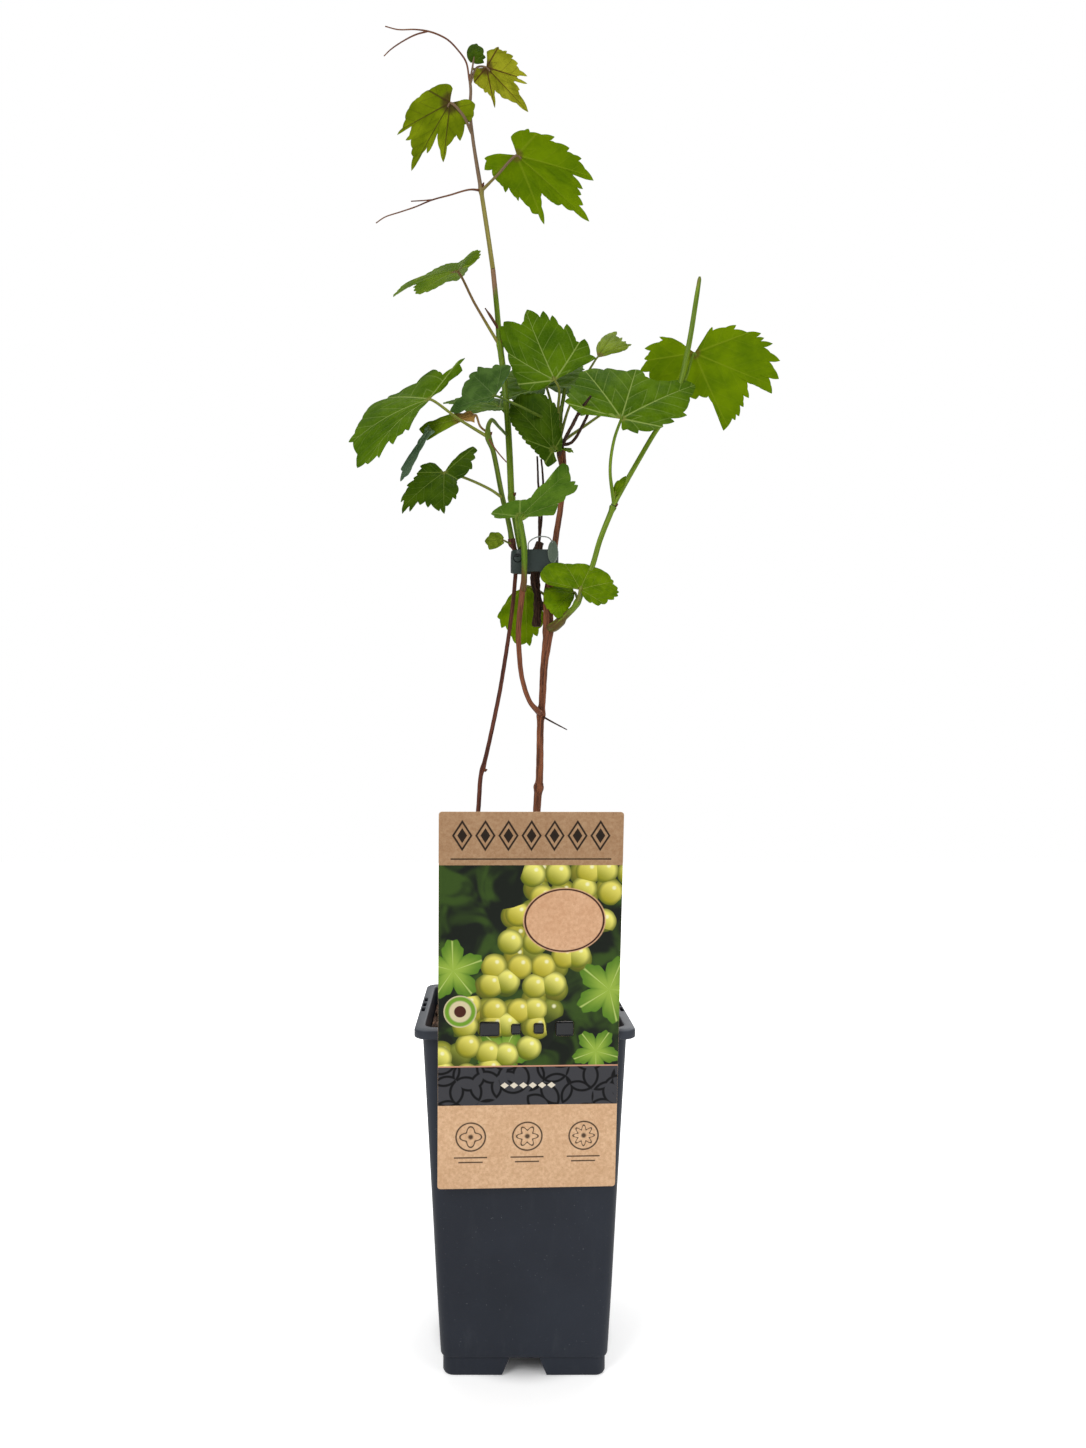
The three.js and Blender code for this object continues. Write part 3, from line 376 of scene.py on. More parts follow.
# The card's print. Places on it are metres from its bottom edge and from its middle.
PRINT = {
    "header": 0.1625, "picture": 0.0628, "band": 0.0430, "rule": 0.1655, "half": 0.0385,
    "motif_row": 0.1768, "motif_pitch": 0.0110, "motif_half": 0.0078, "icon_row": 0.0268,
    "icon_pitch": 0.0279, "icon_radius": 0.0072, "petal_radius": 0.0042, "petal_depth": 0.0011,
    "disc_pitch": 0.0112, "panel": (0.0165, 0.1355), "panel_half": (0.0200, 0.0160),
    "badge": (-0.0335, 0.0905), "badge_radius": 0.0080, "bead_row": 0.0530, "bead_pitch": 0.0046,
    "bead_half": 0.0016, "beads_half": 0.0138, "drift_row": 0.1120, "drift_half": 0.0250,
    "drift_shift": 0.0231, "thin": 0.0003, "icon_line": 0.00036, "icon_rule": 0.00032,
}
# The print's colours. The header is a painted shade, a linear share that the board under the header
# is multiplied by: it darkens the card's top, which leans back into shade.
INK = {
    "kraft_deep": (206, 164, 126), "kraft_light": (232, 194, 156), "kraft_cloud": (196, 152, 112),
    "kraft_speck": (120, 82, 54), "kraft_edge": (228, 204, 172), "header": (0.57, 0.54, 0.5, 1),
    "ground_deep": (20, 26, 18), "ground_light": (54, 78, 26), "far_deep": (58, 70, 16),
    "far_light": (140, 148, 56), "near_deep": (126, 132, 22), "near_light": (244, 238, 124),
    "disc_warm": (206, 184, 50), "disc_edge": (74, 88, 20), "glint": (246, 244, 200),
    "leaf_middle": (150, 178, 66), "leaf_edge": (88, 128, 34), "leaf_vein": (196, 212, 120),
    "panel": (206, 138, 100), "panel_ring": (64, 32, 24), "badge": (214, 200, 160),
    "badge_ring": (112, 156, 44), "badge_middle": (74, 34, 24), "band": (6, 6, 8),
    "band_ring": (62, 62, 66), "bead": (226, 216, 196), "motif": (14, 13, 14), "icon": (32, 24, 21),
    "rule": (206, 150, 122),
}
# Leaves in the picture: middle (across, up), size and turn in degrees
PICTURE_LEAVES = [((0.0390, 0.1010), 0.0190, 140), ((-0.0370, 0.1110), 0.0170, 20),
                  ((-0.0120, 0.0700), 0.0150, 65), ((0.0330, 0.0700), 0.0130, 200)]
# The short rules under an icon: how far below its middle and half how long
ICON_RULES = ((0.0107, 0.0082), (0.0131, 0.0060))
# The card's openings in mm: left, right, bottom, top
OPENINGS = ((-24, -14.3, 78, 85.4), (-8.7, -4, 78.7, 84.2), (2.3, 7.3, 79, 84.5), (13.1, 21.9, 77.8, 85.2))


def card_place():
    """The matrix that stands the card at the rim."""
    turns = [Matrix.Rotation(math.radians(angle), 4, axis)
             for angle, axis in ((CARD_YAW, "Z"), (CARD_LEAN, "X"), (CARD_ROLL, "Y"))]
    return Matrix.Translation(Vector(CARD_BOTTOM) * MM) @ turns[0] @ turns[1] @ turns[2]


def line_group():
    """A drawn line: 1 where a distance is under half the line's width."""
    tree, given, result = new_group("Drawn Line", {"Distance": "Float", "Half Width": "Float"}, ["Mask"])
    half = given["Half Width"]
    feed(result, {"Mask": fade(abs(given["Distance"]), half * 1.6, half * 0.6)})
    return tree


LINE = line_group()


def line(distance, half_width):
    return use_group(LINE, {"Distance": distance, "Half Width": half_width})["Mask"]


def between(value, low, high):
    """1 where value lies from low to high."""
    return (value > low) * (value < high)


def discs(u, v, shift, below, dark, bright):
    """A layer of shaded discs in a slanting drift, laid over the colour below."""
    pitch = PRINT["disc_pitch"]
    shifted = u + shift
    sockets = {"Vector": pair(shifted, v), "Scale": 1 / pitch, "Randomness": 0.6}
    cells = add_node(u.tree, "TexVoronoi", sockets, voronoi_dimensions="2D").outputs
    off, own_tint, middle = (Field(cells[name]) for name in ("Distance", "Color", "Position"))
    middle_u, middle_v, _ = split(middle)
    drift = (middle_v - PRINT["drift_row"]) * 0.5 - (middle_u - shift)
    rise = (v - middle_v) / pitch
    side = (shifted - middle_u) / pitch
    body = blend(fade(rise * 0.8 + side * 0.5, -0.45, 0.4), dark, bright)
    body = blend(split(own_tint)[0] * 0.5, body, INK["disc_warm"])
    body = blend(fade(off, 0.56, 0.36, 0.75, 0.0), body, INK["disc_edge"])
    glint = length_of(pair(side - 0.14, rise - 0.2))
    body = blend(fade(glint, 0.13, 0.03, 0.0, 0.8), body, INK["glint"])
    return blend(fade(off, 0.58, 0.54) * (abs(drift) < PRINT["drift_half"]), below, body)


def picture_leaf(u, v, below, middle, size, turn):
    """A light leaf with pointed lobes and pale veins, laid over the colour below."""
    across, up = u - middle[0], v - middle[1]
    angle = calc("ARCTAN2", up, across) - math.radians(turn)
    lobes = abs(calc("COSINE", angle * 2.5)) * 0.4
    saw = calc("PINGPONG", angle * 3.2, 0.5) * 0.16
    share = length_of(pair(across, up)) / ((lobes + saw + 0.48) * size)
    tone = blend(fade(share, 0.1, 1.0), INK["leaf_middle"], INK["leaf_edge"])
    tone = blend(fade(abs(calc("SINE", angle * 2.5)), 0.12, 0.02, 0.0, 0.7), tone, INK["leaf_vein"])
    return blend(fade(share, 1.0, 0.95), below, tone)


def lozenges(u, v, row, pitch, tall, half):
    """How far a place lies from the middle of a row of lozenges, as about 1 at their edge."""
    cell = calc("FRACT", (u + half) / pitch) - 0.5
    return abs(cell) * 2.2 + abs((v - row) / tall)


def kraft_board(flat, fibre):
    kraft = blend(fade(fibre, 0.3, 0.7), INK["kraft_deep"], INK["kraft_light"])
    kraft = blend(fade(noise(flat, 60.0), 0.3, 0.7, 0.0, 0.25), kraft, INK["kraft_cloud"])
    specks = put(flat.tree, "TexVoronoi", {"Vector": flat, "Scale": 620.0})
    return blend(fade(specks, 0.12, 0.05, 0.0, 0.45), kraft, INK["kraft_speck"])


def card_picture(flat, u, v, kraft):
    """Two layers of pale discs and a few light leaves over dark leafy ground, a plain oval panel
    with a dark ring, and a round badge."""
    leafy = fade(noise(flat, 60.0, 2.0, 0.5, 0.8), 0.42, 0.64)
    picture = blend(leafy, INK["ground_deep"], INK["ground_light"])
    picture = discs(u, v, PRINT["drift_shift"], picture, INK["far_deep"], INK["far_light"])
    for middle, size, turn in PICTURE_LEAVES:
        picture = picture_leaf(u, v, picture, middle, size, turn)
    picture = discs(u, v, 0.0, picture, INK["near_deep"], INK["near_light"])
    places = zip((u, v), PRINT["panel"], PRINT["panel_half"])
    oval = length_of(pair(*((place - middle) / half for place, middle, half in places)))
    picture = blend(fade(oval, 1.02, 0.98), picture, blend(0.25, kraft, INK["panel"]))
    picture = blend(line(oval - 0.95, 0.022), picture, INK["panel_ring"])
    badge = length_of(pair(u - PRINT["badge"][0], v - PRINT["badge"][1])) / PRINT["badge_radius"]
    picture = blend(fade(badge, 1.02, 0.98), picture, INK["badge"])
    picture = blend(line(badge - 0.8, 0.12), picture, INK["badge_ring"])
    return blend(fade(badge, 0.38, 0.34), picture, INK["badge_middle"])


def card_band(u, v):
    """A dark band with crossing rings and a row of pale beads."""
    cells = put(u.tree, "TexVoronoi", {"Vector": pair(u, v), "Scale": 90.0, "Randomness": 0.75}, "Distance",
                voronoi_dimensions="2D", feature="F2")
    band = blend(line(calc("FRACT", cells * 2.2) - 0.5, 0.11), INK["band_ring"], INK["band"])
    bead = fade(lozenges(u, v, PRINT["bead_row"], PRINT["bead_pitch"], PRINT["bead_half"], 0.0), 1.05, 0.9)
    return blend(bead * (abs(u) < PRINT["beads_half"]), band, INK["bead"])


def card_header(u, v, kraft):
    """A row of tall lozenges over a rule, on board darkened by a painted shade."""
    shaded = blend(1.0, kraft, INK["header"], "MULTIPLY")
    form = lozenges(u, v, PRINT["motif_row"], PRINT["motif_pitch"], PRINT["motif_half"], PRINT["half"])
    motif = calc("MAXIMUM", fade(form, 0.5, 0.44), line(form - 0.86, 0.1))
    drawn = calc("MAXIMUM", motif, line(v - PRINT["rule"], PRINT["thin"])) * (abs(u) < PRINT["half"])
    return blend(drawn * 0.95, shaded, INK["motif"])


def card_foot(u, v, kraft):
    """Three plain line drawings, each a ring with petals, over short rules."""
    place = u / PRINT["icon_pitch"]
    which = calc("ROUND", place)
    icon_u = (place - which) * PRINT["icon_pitch"]
    icon_v = v - PRINT["icon_row"]
    radius = length_of(pair(icon_u, icon_v))
    petals = which * 2.0 + 6.0
    petal = calc("COSINE", calc("ARCTAN2", icon_v, icon_u) * petals) * PRINT["petal_depth"]
    ring = line(radius - PRINT["icon_radius"], PRINT["icon_line"])
    flower = line(radius - PRINT["petal_radius"] - petal, PRINT["icon_line"])
    drawn = calc("MAXIMUM", ring, calc("MAXIMUM", flower, line(radius, PRINT["petal_depth"])))
    for below, half in ICON_RULES:
        drawn = calc("MAXIMUM", drawn, line(icon_v + below, PRINT["icon_rule"]) * (abs(icon_u) < half))
    return blend(drawn * 0.88, kraft, INK["icon"])


def card_material():
    made, tree, shader = new_material("printed_card")
    stand = card_place()
    spot = put(tree, "TexCoord", None, "Object")
    flat = put(tree, "Mapping", {0: spot, 1: stand.to_translation(), 2: stand.to_euler("XYZ")},
               vector_type="TEXTURE")
    u, deep, v = split(flat)
    fibre = noise(flat, 700.0, 5.0, 0.7)
    kraft = kraft_board(flat, fibre)
    front = blend(between(v, PRINT["band"], PRINT["picture"]), card_foot(u, v, kraft), card_band(u, v))
    front = blend(between(v, PRINT["picture"], PRINT["header"]), front, card_picture(flat, u, v, kraft))
    front = blend(v > PRINT["header"], front, card_header(u, v, kraft))
    front = blend(line(v - PRINT["picture"], PRINT["thin"]), front, INK["rule"])
    printed = deep < (0.03 - CARD["thick"]) * MM
    inked = printed * between(v, PRINT["band"], PRINT["header"])
    feed(shader, {"Base Color": blend(printed, blend(0.35, kraft, INK["kraft_edge"]), front),
                  "Roughness": 0.82 - inked * 0.32, "Specular IOR Level": 0.16})
    bump(shader, fibre, 0.00005)
    return made


# Each tone of leaf: its top and its underside as dark, light and vein colour and how strong the
# veins show, then the tint round the stalk and how far out it goes
LEAF_TONES = {
    "young": (((98, 108, 16), (138, 140, 30), (96, 80, 34), 0.6),
              ((116, 122, 16), (160, 162, 36), (84, 60, 24), 0.72), ((76, 52, 30), 0.15)),
    "bronze": (((76, 96, 6), (104, 120, 12), (128, 136, 56), 0.4),
               ((96, 114, 4), (128, 144, 14), (72, 64, 22), 0.62), ((66, 46, 28), 0.17)),
    "pale": (((94, 114, 18), (124, 144, 38), (150, 160, 80), 0.5),
             ((82, 112, 8), (110, 138, 22), (136, 150, 60), 0.4), ((116, 96, 50), 0.14)),
    "light": (((74, 104, 1), (104, 132, 3), (150, 166, 66), 0.55),
              ((82, 110, 1), (106, 132, 1), (120, 140, 24), 0.42), ((100, 88, 34), 0.08)),
    "lit": (((84, 116, 0), (116, 146, 2), (146, 168, 54), 0.5),
            ((84, 116, 0), (116, 146, 2), (140, 162, 44), 0.45), ((118, 132, 40), 0.08)),
    "full": (((56, 87, 1), (86, 117, 3), (146, 166, 84), 0.62),
             ((66, 98, 14), (90, 122, 24), (132, 150, 74), 0.6), ((120, 128, 52), 0.06)),
    "front": (((58, 92, 18), (88, 120, 32), (132, 156, 76), 0.4),
              ((84, 114, 36), (108, 138, 50), (142, 158, 86), 0.6), ((112, 128, 50), 0.08)),
    "shade": (((38, 63, 1), (62, 87, 3), (112, 132, 54), 0.5),
              ((56, 86, 18), (78, 106, 28), (120, 138, 68), 0.5), ((96, 108, 40), 0.08)),
    "cool": (((45, 72, 24), (78, 107, 46), (118, 142, 86), 0.4),
             ((54, 84, 56), (82, 112, 82), (124, 146, 108), 0.5), ((96, 112, 50), 0.08)),
    # painted_sheen: bluish grey on both sides, a painted sheen for the sky's glancing reflection
    "painted_sheen": (((76, 102, 76), (106, 130, 102), (130, 150, 116), 0.4),
              ((76, 102, 76), (106, 130, 102), (130, 150, 116), 0.4), ((96, 112, 60), 0.08)),
    "browned": (((76, 102, 6), (102, 126, 14), (138, 152, 66), 0.5),
                ((84, 108, 44), (108, 130, 60), (140, 150, 90), 0.6), ((168, 122, 70), 0.46)),
}
LEAF_LOOKS = []
for tone, (top, under, joint) in LEAF_TONES.items():
    LEAF_LOOKS.append(leaf_material(tone + "_leaf_top", top, joint, 1, 0.5))
    LEAF_LOOKS.append(leaf_material(tone + "_leaf_under", under, joint, -1, 0.62))

# Stem skins: the material's name, its dark, light and streak colour, roughness, relief and
# fineness, and the tinted zones
STEM_SKINS = {
    "cane": ("cane_bark", (76, 42, 28), (144, 87, 57), (176, 122, 86), 0.55, 0.0003, 1.1,
             [(0.3832, 0.3822, (40, 26, 20))]),
    "thin_cane": ("thin_cane_bark", (58, 30, 23), (108, 60, 44), (142, 92, 68), 0.55, 0.0002),
    "ruddy_cane": ("ruddy_cane_bark", (78, 42, 28), (142, 84, 54), (170, 116, 80), 0.5, 0.0002),
    "dead": ("dead_wood", (34, 22, 18), (76, 52, 40), (116, 86, 66), 0.8, 0.0004, 1.6),
    "green": ("green_stem", (80, 108, 12), (116, 142, 28), (148, 166, 66), 0.42, 0.0001, 0.9,
              [(0.57, 0.588, (142, 98, 84)), (0.378, 0.3885, (88, 56, 34))]),
    "footed": ("footed_stalk", (66, 96, 10), (102, 132, 24), (134, 156, 60), 0.42, 0.0001, 0.9,
               [(0.39, 0.411, (104, 62, 40))]),
    "shaded": ("shaded_stem", (58, 82, 12), (98, 116, 30), (122, 136, 52), 0.45, 0.0001, 0.9),
    "petiole": ("leaf_stalk", (92, 102, 34), (130, 138, 56), (138, 120, 66), 0.45, 0.0001, 0.9),
    "ruddy": ("ruddy_stalk", (92, 64, 40), (136, 106, 62), (140, 132, 62), 0.45, 0.0001, 0.9,
              [(0.53, 0.552, (136, 134, 54))]),
    "young": ("young_stem", (118, 110, 46), (150, 140, 68), (156, 144, 90), 0.45, 0.0001, 0.9,
              [(0.627, 0.76, (116, 90, 76))]),
    "tendril": ("tendril_skin", (86, 46, 36), (126, 82, 52), (156, 120, 78), 0.5, 0.00006, 1.2),
    "bud": ("bud_scale", (66, 36, 22), (116, 70, 42), (146, 104, 68), 0.6, 0.0002, 1.4),
}
STEM_LOOKS = [stem_material(*skin) for skin in STEM_SKINS.values()]


# Meshes of blades and stems, in mm

BLADE_THICK = 0.36
# How far apart a blade's rings and edge points lie, and how far its edges bow out
RING_STEP, EDGE_STEP, EDGE_BOW = 2.1, 0.75, 0.07
# Teeth: how far apart, where on each its point lies, and the range of their heights
TOOTH_SPACING, TOOTH_LEAN, TOOTH_RANGE = 3.6, 0.74, (0.6, 1.25)
# How high a blade swells between its side veins, as a share of its length, and how deep the main
# veins lie
SWELL_RISE, VEIN_DEPTH = 0.007, 0.3
# How far the patterns of two pieces lie apart, on leaves and along stems
LEAF_SHIFT, GRAIN_SHIFT = 3.7, 17.3
# Where the seam of a stem points at its root
SEAM = (0.3, 0.9, 0.1)


class Parts:
    """Gathers loose shapes that become one piece."""

    def __init__(self):
        self.points, self.faces, self.looks, self.places, self.count = [], [], [], [], 0

    def take(self, points, faces, places, look):
        self.points.append(points)
        self.places.append(places)
        self.faces += [tuple(i + self.count for i in face) for face in faces]
        self.looks += [look] * len(faces)
        self.count += len(points)

    def piece(self, name, attribute, materials):
        mesh = bpy.data.meshes.new(name)
        mesh.from_pydata(np.concatenate(self.points) * MM, [], self.faces)
        spots = mesh.attributes.new(attribute, "FLOAT_VECTOR", "POINT")
        spots.data.foreach_set("vector", np.concatenate(self.places).astype(np.float32).ravel())
        for material in materials:
            mesh.materials.append(material)
        mesh.polygons.foreach_set("material_index", self.looks)
        mesh.update()
        made = bpy.data.objects.new(name, mesh)
        bpy.context.collection.objects.link(made)
        return made


def centripetal(stations, steps):
    """Points, radii and travelled length along the smooth curve through stations of [x, y, z, radius]."""
    at = np.array([s[:3] for s in stations], float)
    radius = np.array([s[3] for s in stations], float)
    before, after = 2 * at[0] - at[1], 2 * at[-1] - at[-2]
    knots = np.vstack([before, at, after])
    points, radii = [], []
    for span in range(len(at) - 1):
        p0, p1, p2, p3 = knots[span:span + 4]
        d0, d1, d2 = (max(np.sum((b - a) ** 2) ** 0.25, 1e-4) for a, b in ((p0, p1), (p1, p2), (p2, p3)))
        t1 = ((p1 - p0) / d0 - (p2 - p0) / (d0 + d1) + (p2 - p1) / d1) * d1
        t2 = ((p2 - p1) / d1 - (p3 - p1) / (d1 + d2) + (p3 - p2) / d2) * d1
        count = max(2, round(np.linalg.norm(p2 - p1) / steps))
        t = np.arange(count + (span == len(at) - 2))[:, None] / count
        points.append((2 * t**3 - 3 * t**2 + 1) * p1 + (t**3 - 2 * t**2 + t) * t1
                      + (3 * t**2 - 2 * t**3) * p2 + (t**3 - t**2) * t2)
        soft = t[:, 0] * t[:, 0] * (3 - 2 * t[:, 0])
        radii.append(radius[span] + (radius[span + 1] - radius[span]) * soft)
    points = np.vstack(points)
    travelled = np.concatenate([[0], np.cumsum(np.linalg.norm(np.diff(points, axis=0), axis=1))])
    return points, np.concatenate(radii), travelled


# Skins give a stem's relief as a share of its radius, by the angle round it and the way along in mm

def smooth_skin(angle, along, seed):
    """Faint ribs that run along a green stem."""
    return 0.045 * np.sin(5 * angle + 0.02 * along + seed) + 0.015 * np.sin(9 * angle - 0.05 * along)


def bark_skin(angle, along, seed):
    """Furrows and strips that wander along a woody cane, with low rings."""
    furrow = 0.05 * np.sin(6 * angle + 1.1 * np.sin(0.05 * along + seed) + 0.03 * along)
    strip = 0.035 * np.sin(11 * angle - 0.06 * along + 2 * np.sin(0.11 * along))
    ring = 0.02 * np.sin(0.9 * along + 2 * np.sin(angle + seed))
    return furrow + strip + ring


def plain_skin(angle, along, seed):
    """No relief at all."""
    return 0 * angle


def ragged_skin(angle, along, seed):
    """The peeling skin of dead wood."""
    flake = 0.11 * np.sin(4 * angle + 1.6 * np.sin(0.23 * along + seed)) * np.sin(0.31 * along + angle)
    return flake + 0.08 * np.sin(9 * angle + 0.4 * along) + 0.05 * np.sin(1.7 * along + 3 * angle)


def tube(stations, sides, steps, skin, seed=0.0):
    """A closed round stem. Its grain is (cos, sin) round the stem times its radius, and the way along."""
    points, radii, travelled = centripetal(stations, steps)
    tangents = np.gradient(points, axis=0)
    tangents /= np.linalg.norm(tangents, axis=1)[:, None]
    across = np.array(SEAM)
    angle = np.arange(sides) * 2 * math.pi / sides
    rings, grain = [], []
    for at, way, radius, along in zip(points, tangents, radii, travelled):
        across = across - way * (across @ way)
        across /= np.linalg.norm(across)
        side = np.cross(way, across)
        size = radius * (1 + skin(angle, along, seed))
        rings.append(at + np.outer(size * np.cos(angle), across) + np.outer(size * np.sin(angle), side))
        grain.append(np.column_stack([radius * np.cos(angle), radius * np.sin(angle),
                                      np.full(sides, along + GRAIN_SHIFT * seed)]))
    last = len(points) - 1
    ring = [(i, (i + 1) % sides, sides + (i + 1) % sides, sides + i) for i in range(sides)]
    faces = [tuple(r * sides + corner for corner in face) for r in range(last) for face in ring]
    faces.append(tuple(reversed(range(sides))))
    faces.append(tuple(last * sides + i for i in range(sides)))
    return np.vstack(rings), faces, np.vstack(grain)


def with_teeth(corners, reach, depth, seed):
    """Puts saw teeth between the outline's corners. They lean to the end that lies farther out."""
    random = np.random.default_rng(seed)
    points = [corners[0]]
    for i in range(1, len(corners)):
        a, run = corners[i - 1], corners[i] - corners[i - 1]
        size = np.linalg.norm(run)
        outward = np.array([run[1], -run[0]]) / size
        peak = TOOTH_LEAN if reach[i] > reach[i - 1] else 1 - TOOTH_LEAN
        count = max(1, round(size / TOOTH_SPACING)) if 1 < i < len(corners) - 1 else 0
        for tooth in range(count):
            high = depth * random.uniform(*TOOTH_RANGE)
            points.append(a + run * (tooth + peak) / count + outward * high)
            points.append(a + run * (tooth + 1) / count)
        if count == 0:
            points.append(corners[i])
    return np.array(points)


def toothed_edge(outline, length, depth, seed):
    """The blade's edge in mm as (u, w) points. A depth adds small teeth between the outline's own."""
    degrees, reach = np.radians([o[0] for o in outline]), np.array([o[1] for o in outline])
    corners = np.column_stack([reach * np.cos(degrees), reach * np.sin(degrees)]) * length
    if depth:
        corners = with_teeth(corners, reach, depth, seed)
    edge = []
    for a, b in zip(corners, corners[1:]):
        run = b - a
        t = np.arange(max(1, round(np.linalg.norm(run) / EDGE_STEP)))[:, None]
        t = t / len(t)
        edge.append(a + t * run + EDGE_BOW * np.sin(math.pi * t) * np.array([run[1], -run[0]]))
    edge.append(corners[-1:])
    return np.vstack(edge)


def softened(edge, reach=9):
    """The edge with its teeth smoothed away, which the inner rings follow."""
    padded = np.vstack([np.repeat(edge[:1], reach, 0), edge, np.repeat(edge[-1:], reach, 0)])
    weights = np.hanning(2 * reach + 1)
    weights /= weights.sum()
    return np.column_stack([np.convolve(padded[:, k], weights, "valid") for k in (0, 1)])


def vein_relief(place):
    """How deep the main veins lie and how far the blade swells between the side veins, both 0 to 1."""
    turn = np.arctan2(np.abs(place[:, 1]), place[:, 0])
    nearest = np.min([np.abs(turn - math.radians(a)) for a in VEIN_ANGLES], axis=0)
    reach = np.hypot(place[:, 0], place[:, 1])
    along, away = reach * np.cos(nearest), reach * np.sin(nearest)
    row = along - away * (VEIN_BEND[0] - VEIN_BEND[1] * away) + VEIN_SHIFT * (place[:, 1] > 0)
    gap = np.abs((row / VEIN_SPACING) % 1 - 0.5) * 2
    main = np.exp(-((away / 0.022) ** 2)) * np.clip(1.15 - along, 0, 1)
    swell = np.sin(gap * math.pi / 2) * np.clip(away / 0.12, 0, 1)
    return main, swell


def unit(vector):
    return vector / np.linalg.norm(vector)


def blade(root, tip, face, outline, seed, arch=0.05, cup=0.12, heel=0.0, veins=VEIN_FAN,
          depth=0.0, wave=0.5):
    """One leaf blade as a single sheet round the point where its stalk meets it. root and tip are the
    ends of its midrib and face is the way its top looks. arch bends it along the midrib, cup across it
    and heel behind the stalk. veins are the angles of its main veins, depth is how high its added
    teeth are, and wave is how far its rim ripples."""
    start = np.array(root, float)
    run = np.array(tip, float) - start
    length = np.linalg.norm(run)
    along = run / length
    up = np.array(face, float)
    up = unit(up - along * (up @ along))
    left = np.cross(up, along)
    edge = toothed_edge(outline, length, depth, seed)
    inner = softened(edge)
    rings = max(6, round(length / RING_STEP))
    t = (np.arange(1, rings + 1) / rings)[:, None, None]
    flat = (inner[None] * t + (edge - inner)[None] * t**2).reshape(-1, 2)
    flat = np.vstack([[0.0, 0.0], flat]) / length
    u, w = flat[:, 0], flat[:, 1]
    reach = np.hypot(u, w) / max(o[1] for o in outline)
    degrees = np.degrees(np.arctan2(w, u))
    ideal = np.radians(np.interp(degrees, (-180, *veins, 180), (-180, *VEIN_FAN, 180)))
    shift = np.full(len(u), LEAF_SHIFT * seed)
    place = np.column_stack([reach * np.cos(ideal), reach * np.sin(ideal), shift])
    front = np.maximum(u, 0)
    lift = (4 * arch * front * (1 - front) - cup * w * w + heel * np.maximum(-u, 0)) * length
    main, swell = vein_relief(place)
    rim = np.concatenate([[0.0], np.repeat(t[:, 0, 0], len(edge))])
    lift += SWELL_RISE * length * swell * (1 - rim**4) - VEIN_DEPTH * main
    ripple = np.sin(3.3 * ideal + 2.1 * seed) + 0.6 * np.sin(7.1 * ideal + 1.3 * seed)
    lift += wave * rim**2 * ripple
    points = start + np.outer(u * length, along) + np.outer(w * length, left) + np.outer(lift, up)
    n = len(edge)
    faces = [(0, 1 + i, 2 + i) for i in range(n - 1)]
    faces += [(1 + r * n + i, 1 + (r + 1) * n + i, 2 + (r + 1) * n + i, 2 + r * n + i)
              for r in range(rings - 1) for i in range(n - 1)]
    return points, faces, place


# The plan of the plant. Outlines are (degrees from the midrib, reach); see blade() for the rest.

BROAD = [(-158, 0.22), (-145, 0.44), (-130, 0.55), (-112, 0.52), (-97, 0.64), (-84, 0.66), (-72, 0.6),
         (-58, 0.78), (-46, 0.93), (-36, 0.8), (-29, 0.66), (-19, 0.8), (0, 1), (16, 0.83), (28, 0.67),
         (38, 0.82), (48, 0.91), (60, 0.76), (73, 0.61), (86, 0.67), (99, 0.62), (113, 0.53), (131, 0.54),
         (146, 0.42), (159, 0.2)]

